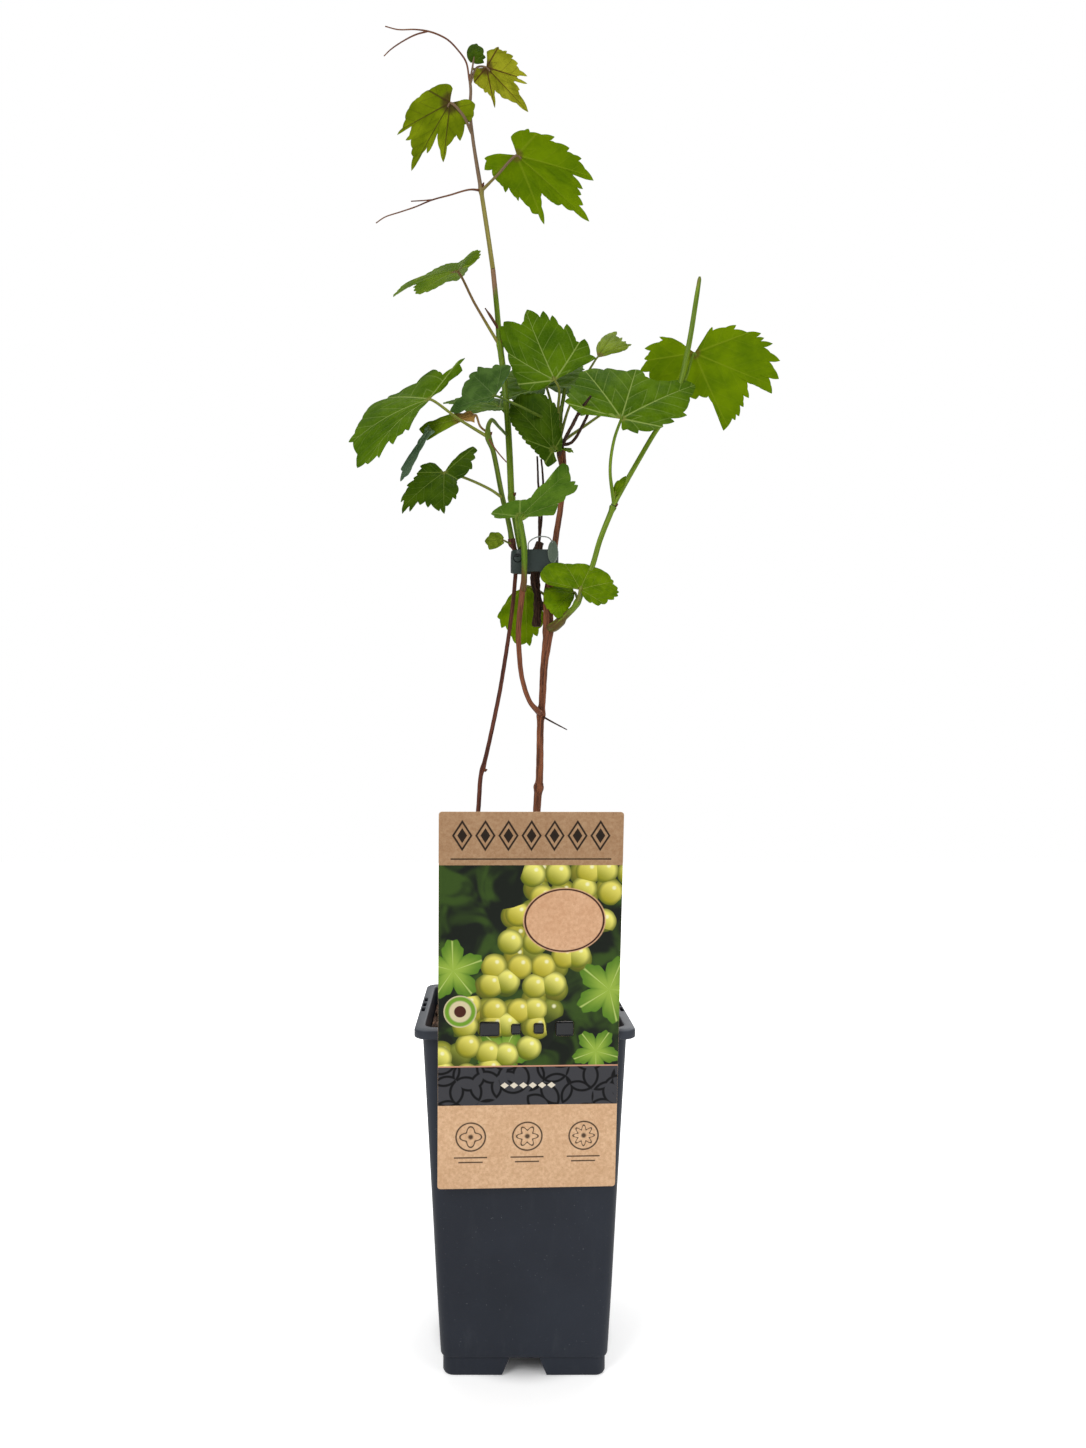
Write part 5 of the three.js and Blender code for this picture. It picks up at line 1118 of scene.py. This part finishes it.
SIDE_TENDRIL = [
    [(-22.3, 4, 625.2, 0.7), (-28.3, 0, 623.3, 0.5), (-39, -5, 617.4, 0.45), (-48.5, -9, 612.4, 0.42),
     (-57.4, -12, 606.9, 0.38), (-65.2, -14, 603.1, 0.35), (-73, -16, 599.3, 0.32), (-77.6, -17, 595.6, 0.3)],
    [(-47.9, -8.8, 612.7, 0.36), (-53.8, -10, 611.5, 0.33), (-59.5, -12, 610, 0.3)],
]
NODE_TENDRIL = [(-18.3, -18, 482.2, 0.5), (-16.6, -20, 478, 0.42), (-12, -19.4, 472, 0.36),
                (-8.6, -16, 469.4, 0.32)]
DEAD_TENDRIL = [(10.7, 4, 336.4, 0.6), (14.6, 0, 333.7, 0.5), (19.5, -4, 330.7, 0.4), (24, -8, 328, 0.28)]
CROWN_TWIGS = [
    [(20.6, 4, 485, 1.1), (21.4, 1, 500.2, 1.1), (23.6, 2, 515.2, 1.1)],
    [(20.6, 2, 479, 1.1), (22, -8, 482, 1), (26.7, -28, 487.4, 0.9), (30, -35, 491.5, 0.85),
     (33.9, -39, 495.7, 0.6)],
    [(20.9, 4.4, 485.4, 0.9), (27.2, 4.6, 486.6, 0.85), (36, 4, 501.1, 0.8), (38.9, 5, 510.3, 0.6)],
]

# Each stem's node, its piece and its runs of (stations, look, skin, sides, steps)
STEMS = (
    ("main_cane", "main_cane_bark", [(MAIN_CANE, "cane", bark_skin, 28, 0.8)]),
    ("left_cane", "left_cane_bark", [(LEFT_CANE, "thin_cane", bark_skin, 18, 0.8)]),
    ("side_cane", "side_cane_bark", [(SIDE_CANE, "ruddy_cane", bark_skin, 18, 0.8)]),
    ("old_stub", "old_stub_wood",
     [(OLD_STUB, "dead", ragged_skin, 24, 0.6), (STUB_JOINT, "dead", ragged_skin, 20, 0.6)]
     + [(twig, "dead", ragged_skin, 10, 0.7) for twig in OLD_TWIGS]),
    ("leader_stem", "leader_stem_skin",
     [(LEADER_STEM, "green", smooth_skin, 20, 0.8), (LEADER_BRACT, "bud", smooth_skin, 10, 0.5)]),
    ("left_shoot", "left_shoot_skin", [(LEFT_SHOOT, "shaded", smooth_skin, 18, 0.8)]),
    ("right_shoot", "right_shoot_skin", [(RIGHT_SHOOT, "green", smooth_skin, 20, 0.8)]),
    ("node_tendril", "node_tendril_skin", [(NODE_TENDRIL, "tendril", smooth_skin, 8, 0.8)]),
    ("dead_tendril", "dead_tendril_skin", [(DEAD_TENDRIL, "dead", smooth_skin, 8, 0.8)]),
)
# The stems that belong to a mass of foliage, besides its leaf stalks
FOLIAGE_STEMS = {
    "top_foliage": [(LEADER_TOP, "young", smooth_skin, 18, 0.8)]
    + [(tendril, "tendril", smooth_skin, 8, 0.8) for tendril in TIP_TENDRIL + SIDE_TENDRIL],
    "crown_foliage": [(CROWN_HUB, "shaded", smooth_skin, 18, 0.6)]
    + [(twig, look, ragged_skin, 12, 0.7) for twig, look in zip(CROWN_TWIGS, ("shaded", "dead", "dead"))],
    "right_foliage": [(RIGHT_SHOOT_TOP, "green", smooth_skin, 18, 0.8)],
}
# The stalks that don't look like most
STALK_LOOKS = {
    "tipBud": "young", "tipLeaf": "young", "secondLeaf": "young", "thirdLeaf": "young",
    "fourthLeaf": "ruddy", "frontLeaf": "footed", "rightLeaf": "green", "farRightLeaf": "green",
    "heartLeaf": "shaded", "greyLeaf": "shaded", "hangingLeaf": "ruddy",
}

# Buds in the nodes' angles, as the node's place, the way the bud points, its length and its radius
BUDS = {
    "main_cane": [((9.4, 5, 297), (0.8, -0.5, 0.6), 3.6, 1.1), ((9.4, 5, 296.5), (-0.8, -0.5, 0.4), 3, 1.1),
                  ((10.7, 4, 338.5), (-0.3, -0.8, 0.8), 5, 1.5),
                  ((16.1, 2, 384.5), (0.5, 0.7, 0.7), 4.6, 1.5)],
    "left_cane": [((-21.2, 1, 306), (0.8, -0.5, 0.2), 3, 0.9)],
    "leader_stem": [((-5.6, 0, 455), (0.7, -0.5, 0.7), 4, 1.1),
                    ((-11.9, 6, 541), (0.6, -0.6, 0.7), 3.8, 1.0)],
    "left_shoot": [((-18.2, -18, 482), (0.6, -0.4, 0.7), 3.6, 0.9)],
    "right_shoot": [((48, -15, 446), (0.8, -0.3, 0.4), 3, 1.0)],
    "top_foliage": [((-22.3, 4, 625.4), (0.45, -0.5, 0.9), 4.6, 0.9)],
}

FOLIAGE = {
    "top_foliage": ["tipBud", "tipLeaf", "secondLeaf", "thirdLeaf"],
    "upper_leaf": ["fourthLeaf"],
    "crown_foliage": ["crownLeaf", "crownBud", "greyLeaf", "heartLeaf", "hubLeaf", "rearCrownLeaf",
                      "rearRightLeaf"],
    "left_leaf": ["leftLeaf"],
    "hanging_leaf": ["hangingLeaf", "hangingTip"],
    "low_left_leaf": ["lowLeftLeaf"],
    "clip_leaf": ["clipBud"],
    "front_leaf": ["frontLeaf"],
    "right_foliage": ["rightLeaf", "farRightLeaf", "shootBud"],
    "low_right_leaf": ["capLeaf"],
    "node_leaf": ["nodeLeaf"],
    "back_leaf": ["backLeaf"],
    "rear_left_leaf": ["rearLeftLeaf"],
}


def settle(piece, node):
    """Hands a finished piece to the node that it stands for."""
    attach(piece, BODY)
    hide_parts(node)


def choose(piece):
    """Makes piece the only selected object, and the active one."""
    bpy.ops.object.select_all(action="DESELECT")
    piece.select_set(True)
    bpy.context.view_layer.objects.active = piece


def smooth(piece, degrees=40):
    choose(piece)
    bpy.ops.object.shade_smooth_by_angle(angle=math.radians(degrees))


def modify(piece, kind, **settings):
    """Adds a modifier and applies it."""
    choose(piece)
    change = piece.modifiers.new(kind.title(), kind)
    for name, value in settings.items():
        setattr(change, name, value)
    bpy.ops.object.modifier_apply(modifier=change.name)


# A bud's form: how far along it and how thick there, both as shares
BUD_SHARES = ((0.0, 0.6), (0.25, 1.0), (0.55, 0.85), (0.85, 0.4), (1.0, 0.08))


def bud(at, way, size, radius):
    """The stations of a pointed bud that stands out of a node."""
    at, way = np.array(at, float), unit(np.array(way, float))
    return [(*(at + way * (radius + share * size * 0.7)), radius * width) for share, width in BUD_SHARES]


def stem_piece(name, node, runs):
    """One piece from runs of (stations, look, skin, sides, steps)."""
    parts = Parts()
    looks = list(STEM_SKINS)
    for number, (stations, look, skin, sides, steps) in enumerate(runs):
        parts.take(*tube(stations, sides, steps, skin, seed=number + 0.37 * len(name)), looks.index(look))
    for at, way, size, radius in BUDS.get(node, []):
        parts.take(*tube(bud(at, way, size, radius), 10, 0.4, ragged_skin), looks.index("bud"))
    made = parts.piece(name, "grain", STEM_LOOKS)
    smooth(made)
    settle(made, node)


def blade_piece(name, node, leaves):
    """The blades of one mass, thickened so that the underside wears its own finish."""
    parts = Parts()
    for key in leaves:
        plan = dict(LEAVES[key])
        top_look = 2 * list(LEAF_TONES).index(plan.pop("tone"))
        parts.take(*blade(seed=list(LEAVES).index(key), **plan), top_look)
    made = parts.piece(name, "blade", LEAF_LOOKS)
    modify(made, "SOLIDIFY", thickness=BLADE_THICK * MM, offset=0, material_offset=1, material_offset_rim=1)
    smooth(made, 50)
    settle(made, node)


def grow_plant():
    for node, name, runs in STEMS:
        stem_piece(name, node, runs)
    for node, leaves in FOLIAGE.items():
        stalks = [(STALKS[leaf], STALK_LOOKS.get(leaf, "petiole"), smooth_skin, 12, 0.8)
                  for leaf in leaves if leaf in STALKS]
        stem_piece(node + "_stalks", node, FOLIAGE_STEMS.get(node, []) + stalks)
        blade_piece(node + "_blades", node, leaves)


# Made parts, modelled in place

def edit(piece, mode="VERT"):
    choose(piece)
    bpy.ops.object.mode_set(mode="EDIT")
    bpy.ops.mesh.select_mode(type=mode)


def leave_edit():
    bpy.ops.object.mode_set(mode="OBJECT")


def pick(piece, kind, wanted):
    """In edit mode, selects only the faces, edges or vertices for which wanted(element) is true."""
    bpy.ops.mesh.select_all(action="DESELECT")
    work = bmesh.from_edit_mesh(piece.data)
    for element in getattr(work, kind):
        if wanted(element):
            element.select_set(True)
    work.select_flush_mode()
    bmesh.update_edit_mesh(piece.data)


def face_outwards():
    bpy.ops.mesh.select_all(action="SELECT")
    bpy.ops.mesh.normals_make_consistent(inside=False)


def narrow(across, deep):
    """Scales the selection in plan."""
    bpy.ops.transform.resize(value=(across, deep, 1), center_override=(0, 0, 0))


def inset(width, back):
    """Insets the selected face and pushes the inner one back, in mm."""
    bpy.ops.mesh.inset(thickness=width * MM)
    bpy.ops.transform.translate(value=(0, back * MM, 0))


def place_home(piece, place=None):
    """Puts the object's place, turn and size into its mesh, or those of the matrix given."""
    if place is not None:
        piece.matrix_world = place
    choose(piece)
    bpy.ops.object.transform_apply(location=True, rotation=True, scale=True)


def dress(piece, look, node, degrees=40):
    """Gives a made part its material and smooth faces, and hands it over."""
    piece.data.materials.clear()
    piece.data.materials.append(look)
    smooth(piece, degrees)
    settle(piece, node)


def add_shape(name, primitive, scale=(1, 1, 1), **settings):
    """Adds a primitive by its operator, with its place and size in its mesh."""
    bpy.ops.object.select_all(action="DESELECT")
    primitive(**settings)
    made = bpy.context.object
    made.name = name
    made.scale = scale
    place_home(made)
    return made


def add_box(name, low, high, corner=0.0, along=None, segments=5):
    """A box between two corners in mm. along names the axis whose long edges are rounded."""
    low, high = np.array(low, float) * MM, np.array(high, float) * MM
    made = add_shape(name, bpy.ops.mesh.primitive_cube_add, high - low, size=1, location=(low + high) / 2)
    if corner:
        others = [k for k in range(3) if k != "XYZ".index(along)]
        edit(made, "EDGE")
        pick(made, "edges", lambda e: all(abs(e.verts[0].co[k] - e.verts[1].co[k]) < 1e-7 for k in others))
        bpy.ops.mesh.bevel(offset=corner * MM, segments=segments, affect="EDGES")
        leave_edit()
    return made


def subtract(piece, tools):
    """Cuts the tools, joined as one, out of piece."""
    bpy.ops.object.select_all(action="DESELECT")
    for tool in tools:
        tool.select_set(True)
    bpy.context.view_layer.objects.active = tools[0]
    bpy.ops.object.join()
    cutter = bpy.context.object
    modify(piece, "BOOLEAN", operation="DIFFERENCE", solver="EXACT", object=cutter)
    bpy.data.objects.remove(cutter)


# What is cut out of the pot: the gaps between its feet, the drain holes and the slots in its rim
FOOT_GAP = {"half": 11.9, "top_half": 7.5, "inner": 12, "outer": 60}
DRAIN_RADIUS, DRAIN_OUT, DRAIN_DEEP = 3, 26, 8
SLOT = {"x": 52.9, "pitch": 11.5, "half": (1, 5, 6), "corner": 0.8}
# The pot's sides outside, going up, and inside, going down
OUTER_SIDE = ((44.4, 46), (46.5, 88), (48.7, 130))
INNER_SIDE = ((47.3, 130), (45.1, 88), (43, 46))


def pot_profile():
    """(half width, height) from the middle of the underside, up the outside and down the inside."""
    lip, top, rim = POT_HEIGHT - LIP_HEIGHT, POT_HEIGHT, RIM_HALF
    inside = BODY_TOP_HALF - WALL
    floor_half = BODY_BOTTOM_HALF - WALL
    return [
        (FOOT_HALF - 1.4, 0), (FOOT_HALF - 0.5, 0.4), (FOOT_HALF, 1.6), (FOOT_HALF, FOOT_HEIGHT - 0.3),
        (FOOT_HALF + 0.5, FOOT_HEIGHT), (BODY_BOTTOM_HALF - 0.3, FOOT_HEIGHT + 0.3),
        (BODY_BOTTOM_HALF, FOOT_HEIGHT + 1.2), *OUTER_SIDE,
        (BODY_TOP_HALF, lip - 0.4), (BODY_TOP_HALF + 0.4, lip), (rim - 0.6, lip + 0.1),
        (rim - 0.1, lip + 0.5), (rim, lip + 1.1), (rim, top - 1.5), (rim - 0.3, top - 0.6),
        (rim - 1, top - 0.1), (rim - 1.6, top), (inside + 1, top), (inside + 0.3, top - 0.2),
        (inside, top - 0.8), (inside, lip - 1), *INNER_SIDE,
        (floor_half, FLOOR_TOP + 1.5), (floor_half - 1.2, FLOOR_TOP),
    ]


def pot_cutters():
    """The shapes that are cut out of the pot."""
    tools = []
    for quarter in range(4):
        gap = add_box("gap", (-FOOT_GAP["half"], FOOT_GAP["inner"], -1),
                      (FOOT_GAP["half"], FOOT_GAP["outer"], FOOT_HEIGHT))
        edit(gap)
        pick(gap, "verts", lambda v: v.co.z > 0)
        narrow(FOOT_GAP["top_half"] / FOOT_GAP["half"], 1)
        leave_edit()
        hole = add_shape("hole", bpy.ops.mesh.primitive_cylinder_add, vertices=24, radius=DRAIN_RADIUS * MM,
                         depth=DRAIN_DEEP * MM, location=(0, DRAIN_OUT * MM, FLOOR_TOP * MM))
        for tool in (gap, hole):
            place_home(tool, Matrix.Rotation(quarter * math.pi / 2, 4, "Z"))
            tools.append(tool)
    for side in (-1, 1):
        for step in (-1, 0, 1):
            middle = np.array([side * SLOT["x"], step * SLOT["pitch"], POT_HEIGHT - LIP_HEIGHT / 2])
            low, high = middle - SLOT["half"], middle + SLOT["half"]
            tools.append(add_box("slot", low, high, SLOT["corner"], "Z", 3))
    return tools


def make_pot():
    profile = pot_profile()
    half, height = profile[0]
    pot = add_shape("pot_shell", bpy.ops.mesh.primitive_plane_add, size=2 * half * MM, location=(0, 0, 0))
    edit(pot)
    bpy.ops.mesh.select_all(action="SELECT")
    bpy.ops.mesh.bevel(offset=(POT_CORNER - 1) * MM, segments=8, affect="VERTICES")
    for next_half, next_height in profile[1:]:
        rise = (0, 0, (next_height - height) * MM)
        bpy.ops.mesh.extrude_region_move(TRANSFORM_OT_translate={"value": rise})
        narrow(next_half / half, next_half / half)
        half, height = next_half, next_height
    face_outwards()
    leave_edit()
    subtract(pot, pot_cutters())
    dress(pot, plastic_material("pot_plastic", POT_SHINE, pot_dust_and_highlight), "pot", 35)


SOIL_CORNER = 4.5
SOIL_GAP = {"top": 0.35, "bottom": 0.6, "floor": 0.3}
SOIL_RINGS = (0.94, 0.82, 0.66)
CLODS = {"size": 0.011, "rise": 8, "sunk": 0.55, "reach": 0.97}


def make_soil():
    """Lumpy soil, down to the pot's floor."""
    inside = BODY_TOP_HALF - WALL - SOIL_GAP["top"]
    bottom = BODY_BOTTOM_HALF - WALL - SOIL_GAP["bottom"]
    half = bottom + (inside - bottom) * (SOIL_HEIGHT - FLOOR_TOP) / (POT_HEIGHT - FLOOR_TOP)
    low, high = (-half, -half, FLOOR_TOP + SOIL_GAP["floor"]), (half, half, SOIL_HEIGHT)
    soil = add_box("soil_fill", low, high, SOIL_CORNER, "Z", 6)
    edit(soil)
    pick(soil, "verts", lambda v: v.co.z < 0.05)
    narrow(bottom / half, bottom / half)
    bpy.ops.mesh.select_mode(type="FACE")
    pick(soil, "faces", lambda f: f.normal.z > 0.9)
    for share in SOIL_RINGS:
        bpy.ops.mesh.extrude_region_move()
        narrow(share, share)
    bpy.ops.mesh.poke()
    pick(soil, "faces", lambda f: f.normal.z > 0.9)
    bpy.ops.mesh.subdivide(number_cuts=5)
    leave_edit()
    lumps = bpy.data.textures.new("clods", "CLOUDS")
    lumps.noise_scale = CLODS["size"]
    lumps.noise_depth = 3
    top = soil.vertex_groups.new(name="top")
    top.add([v.index for v in soil.data.vertices if v.co.z > (SOIL_HEIGHT - 0.1) * MM
             and max(abs(v.co.x), abs(v.co.y)) < CLODS["reach"] * half * MM], 1, "REPLACE")
    modify(soil, "DISPLACE", texture=lumps, direction="Z", strength=CLODS["rise"] * MM,
           mid_level=CLODS["sunk"], vertex_group="top")
    dress(soil, soil_material(), "soil", 60)


CRUMB_COUNT = 620
CRUMB_SPREAD = 47
CRUMB_RISE = (-0.6, 1.6)
CRUMB_SIZE = (0.5, 1.9)


def make_crumbs():
    """Loose crumbs on the soil, joined as one piece."""
    random = np.random.default_rng(11)
    parts = Parts()
    shape = bmesh.new()
    bmesh.ops.create_icosphere(shape, subdivisions=1, radius=1)
    ball = np.array([v.co for v in shape.verts])
    ball_faces = [tuple(v.index for v in f.verts) for f in shape.faces]
    shape.free()
    for _ in range(CRUMB_COUNT):
        plan = random.uniform(-CRUMB_SPREAD, CRUMB_SPREAD, 2)
        at = np.array([*plan, SOIL_HEIGHT + random.uniform(*CRUMB_RISE)])
        size = random.uniform(*CRUMB_SIZE) * random.uniform(0.6, 1.1, 3)
        points = ball * size * (1 + random.uniform(-0.25, 0.25, (len(ball), 1))) + at
        parts.take(points, ball_faces, points, 0)
    settle(parts.piece("soil_crumbs", "grain", [bpy.data.materials["potting_soil"]]), "soil")


# How the pegs sit in the openings: the gaps round them, how far they stand out and how far they go in
PEG = {"side": 0.15, "below": 0.2, "above": 0.25, "out": 1.7, "in": 6, "edge": 0.6}
OPENING_CORNER = 1.1
CARD_EDGE = 0.12


def make_card():
    half, top, thick = CARD["width"] / 2, CARD["height"], CARD["thick"]
    card = add_box("hanging_card", (-half, -thick, 0), (half, 0, top), CARD["corner"], "Y")
    subtract(card, [add_box("opening", (left, -3, low), (right, 3, high), OPENING_CORNER, "Y", 4)
                    for left, right, low, high in OPENINGS])
    modify(card, "BEVEL", width=CARD_EDGE * MM, segments=2)
    place_home(card, card_place())
    dress(card, card_material(), "label_card", 35)


def make_pegs():
    """The pegs on the rim that the card hangs from, through its openings."""
    dark = plastic_material("peg_plastic")
    for number, (left, right, low, high) in enumerate(OPENINGS, 1):
        front = (left + PEG["side"], -PEG["out"], low + PEG["below"])
        back = (right - PEG["side"], PEG["in"], high - PEG["above"])
        peg = add_box("rim_peg_" + str(number), front, back)
        modify(peg, "BEVEL", width=PEG["edge"] * MM, segments=3)
        edit(peg, "FACE")
        pick(peg, "faces", lambda f: f.normal.y < -0.9)
        inset(0.5, 0.4)
        leave_edit()
        place_home(peg, card_place())
        dress(peg, dark, "pot")


def clip_band():
    """The clip's ring, whose back half rises, round the canes."""
    a, b, h = CLIP["half_x"], CLIP["half_y"], CLIP["height"]
    band = add_box("clip_band", (-a, -b, 0), (a, b, h), CLIP["corner"], "Z", 8)
    edit(band, "FACE")
    pick(band, "faces", lambda f: abs(f.normal.z) > 0.9)
    bpy.ops.mesh.delete(type="FACE")
    bpy.ops.mesh.select_mode(type="VERT")
    pick(band, "verts", lambda v: v.co.y > 0 and v.co.z < h / 2 * MM)
    bpy.ops.transform.translate(value=(0, 0, CLIP["rear_rise"] * MM))
    leave_edit()
    modify(band, "SOLIDIFY", thickness=CLIP["wall"] * MM, offset=-1)
    modify(band, "BEVEL", width=CLIP["edge"] * MM, segments=3)
    return band


HINGE = {"radius": 2.5, "thick": 1.2, "height": 7, "out": 0.1}
# The hinge's stepped face, from its rim inwards: how wide each step is and how far back it goes
HINGE_STEPS = ((0.5, 0), (0.12, 0.35), (0.7, 0), (0.12, -0.35), (0.4, 0.5))
HINGE_FOOT = {"half": 2.7, "front": 0.7, "back": 0.5, "low": -1.3, "high": 7.7, "edge": 0.35}


def clip_hinge():
    x, front = CLIP["hinge_x"], -CLIP["half_y"]
    at = (x * MM, (front - HINGE["out"]) * MM, HINGE["height"] * MM)
    hinge = add_shape("clip_hinge", bpy.ops.mesh.primitive_cylinder_add, vertices=40,
                      radius=HINGE["radius"] * MM, depth=HINGE["thick"] * MM, location=at,
                      rotation=(math.pi / 2, 0, 0))
    edit(hinge, "FACE")
    pick(hinge, "faces", lambda f: f.normal.y < -0.9)
    for width, back in HINGE_STEPS:
        inset(width, back)
    leave_edit()
    foot = add_box("clip_foot", (x - HINGE_FOOT["half"], front - HINGE_FOOT["front"], HINGE_FOOT["low"]),
                   (x + HINGE_FOOT["half"], front + HINGE_FOOT["back"], HINGE_FOOT["high"]))
    modify(foot, "BEVEL", width=HINGE_FOOT["edge"] * MM, segments=3)
    return hinge, foot


LEVER = {"half": (2.8, 6.1, 1), "thick": 1.3, "height": 10.2, "in": 0.5, "edge": 0.2}
LEVER_STEPS = ((0.55, 0.35), (0.9, -0.2))


def clip_lever():
    """The oval finger plate, with a sunk face."""
    at = (CLIP["lever_x"] * MM, (LEVER["in"] - CLIP["half_y"]) * MM, LEVER["height"] * MM)
    lever = add_shape("clip_lever", bpy.ops.mesh.primitive_circle_add, LEVER["half"], vertices=36,
                      radius=1 * MM, fill_type="NGON", rotation=(math.pi / 2, 0, 0), location=at)
    edit(lever, "FACE")
    bpy.ops.mesh.select_all(action="SELECT")
    bpy.ops.mesh.extrude_region_move(TRANSFORM_OT_translate={"value": (0, -LEVER["thick"] * MM, 0)})
    for width, back in LEVER_STEPS:
        inset(width, back)
    face_outwards()
    leave_edit()
    modify(lever, "BEVEL", width=LEVER["edge"] * MM, segments=2)
    return lever


# The clip's wire, as (x, y, z) in the clip's own place, and its radius
WIRE_ARCH = [(-3.6, -10.5, 11.2), (-3.4, -11, 15.5), (0, -11.6, 18), (4, -11.9, 18.6), (7.6, -12.2, 17.6),
             (9.4, -12.3, 15)]
WIRE_RADIUS = 0.32


def clip_wire(look):
    parts = Parts()
    parts.take(*tube([(*place, WIRE_RADIUS) for place in WIRE_ARCH], 10, 0.5, plain_skin), 0)
    return parts.piece("clip_wire", "grain", [look])


def make_clip():
    names = ("clip_plastic", "hinge_plastic", "lever_plastic", "wire_coat")
    dark, black, pale, coat = (plastic_material(name) for name in names)
    at = Vector((CLIP["x"], CLIP["y"], CLIP["z"])) * MM
    band = clip_band()
    hinge, foot = clip_hinge()
    pieces = ((band, dark), (hinge, black), (foot, dark), (clip_lever(), pale), (clip_wire(coat), coat))
    for piece, look in pieces:
        place_home(piece, Matrix.Translation(at))
        dress(piece, look, "tie_clip")


# The floor glows though it is no lamp. Its glow grows from a share of it to the whole between two
# distances from the middle, in metres: once round the pot, which paints a soft shade there, and once
# more at its foot, which paints the shadow under the pot. FLOOR_LIGHT is the share that lights the plant.
ROUND_POT_SHADE = (0.05, 0.5, 0.48)
UNDER_POT_SHADOW = (0.034, 0.051, 0.02)
FLOOR_LIGHT = 0.3


def make_floor():
    """A pale floor that glows though it is no lamp, less so near the pot and hardly at all under it:
    painted shade round the pot and a painted shadow under it.
    """
    floor = add_shape("studio_floor", bpy.ops.mesh.primitive_plane_add, size=6, location=(0, 0, 0))
    made, tree, shader = new_material("pale_floor")
    spot = put(tree, "TexCoord", None, "Object")
    away = length_of(spot)
    seen = fade(put(tree, "LightPath", None, "Is Camera Ray"), 0.0, 1.0, FLOOR_LIGHT)
    # Painted shade: the glow is lower round the pot and hardly there under it
    glow = fade(away, *ROUND_POT_SHADE) * fade(away, *UNDER_POT_SHADOW) * seen
    feed(shader, {"Base Color": blend(noise(spot, 3.0), (246, 246, 246), (250, 250, 250)), "Roughness": 0.9,
                  "Specular IOR Level": 0.1, "Emission Color": blend(glow, (0, 0, 0), (255, 255, 255)),
                  "Emission Strength": 1.0})
    floor.data.materials.append(made)


# Soft lights: name, place, aim, size and power
LIGHTS = (
    ("key_light", (-0.9, -1.3, 1.5), (0, 0, 0.35), 0.9, 14.5),
    ("fill_light", (1.2, -1.1, 0.7), (0, 0, 0.35), 1.1, 5),
    ("top_light", (0.1, 0.3, 1.7), (0, 0, 0.3), 1.0, 6),
    ("back_light", (0.5, 1.4, 0.9), (0, 0, 0.3), 1.2, 5),
)
# How bright the sky is to the camera, and as a light
SEEN_SKY, LIT_SKY = 1.0, 0.38


def light_studio():
    for name, place, aim, size, power in LIGHTS:
        bpy.ops.object.light_add(type="AREA", location=place)
        light = bpy.context.object
        light.name = name
        light.data.shape = "DISK"
        light.data.size = size
        light.data.energy = power
        light.rotation_euler = (Vector(aim) - Vector(place)).to_track_quat("-Z", "Y").to_euler()
    world = bpy.data.worlds.new("studio")
    bpy.context.scene.world = world
    world.use_nodes = True
    tree = world.node_tree
    tree.nodes.clear()
    strength = put(tree, "LightPath", None, "Is Camera Ray") * (SEEN_SKY - LIT_SKY) + LIT_SKY
    sky = put(tree, "Background", {"Color": (1, 1, 1, 1), "Strength": strength})
    add_node(tree, "OutputWorld", {"Surface": sky})
    bpy.context.scene.view_settings.view_transform = "Standard"


CAMERA = {"place": (-0.0168, -0.546, 0.302), "lens": 24.862, "sensor": 36, "shift": (0.0359, 0.0373)}


def set_camera():
    """A level camera in front of the pot, as far off as the pot's perspective tells."""
    bpy.ops.object.camera_add(location=CAMERA["place"], rotation=(math.pi / 2, 0, 0))
    camera = bpy.context.object
    camera.name = "front_camera"
    camera.data.lens = CAMERA["lens"]
    camera.data.sensor_width = CAMERA["sensor"]
    camera.data.shift_x, camera.data.shift_y = CAMERA["shift"]
    camera.data.dof.use_dof = False
    bpy.context.scene.camera = camera


set_camera()
grow_plant()
make_pot()
make_soil()
make_crumbs()
make_card()
make_pegs()
make_clip()
make_floor()
light_studio()
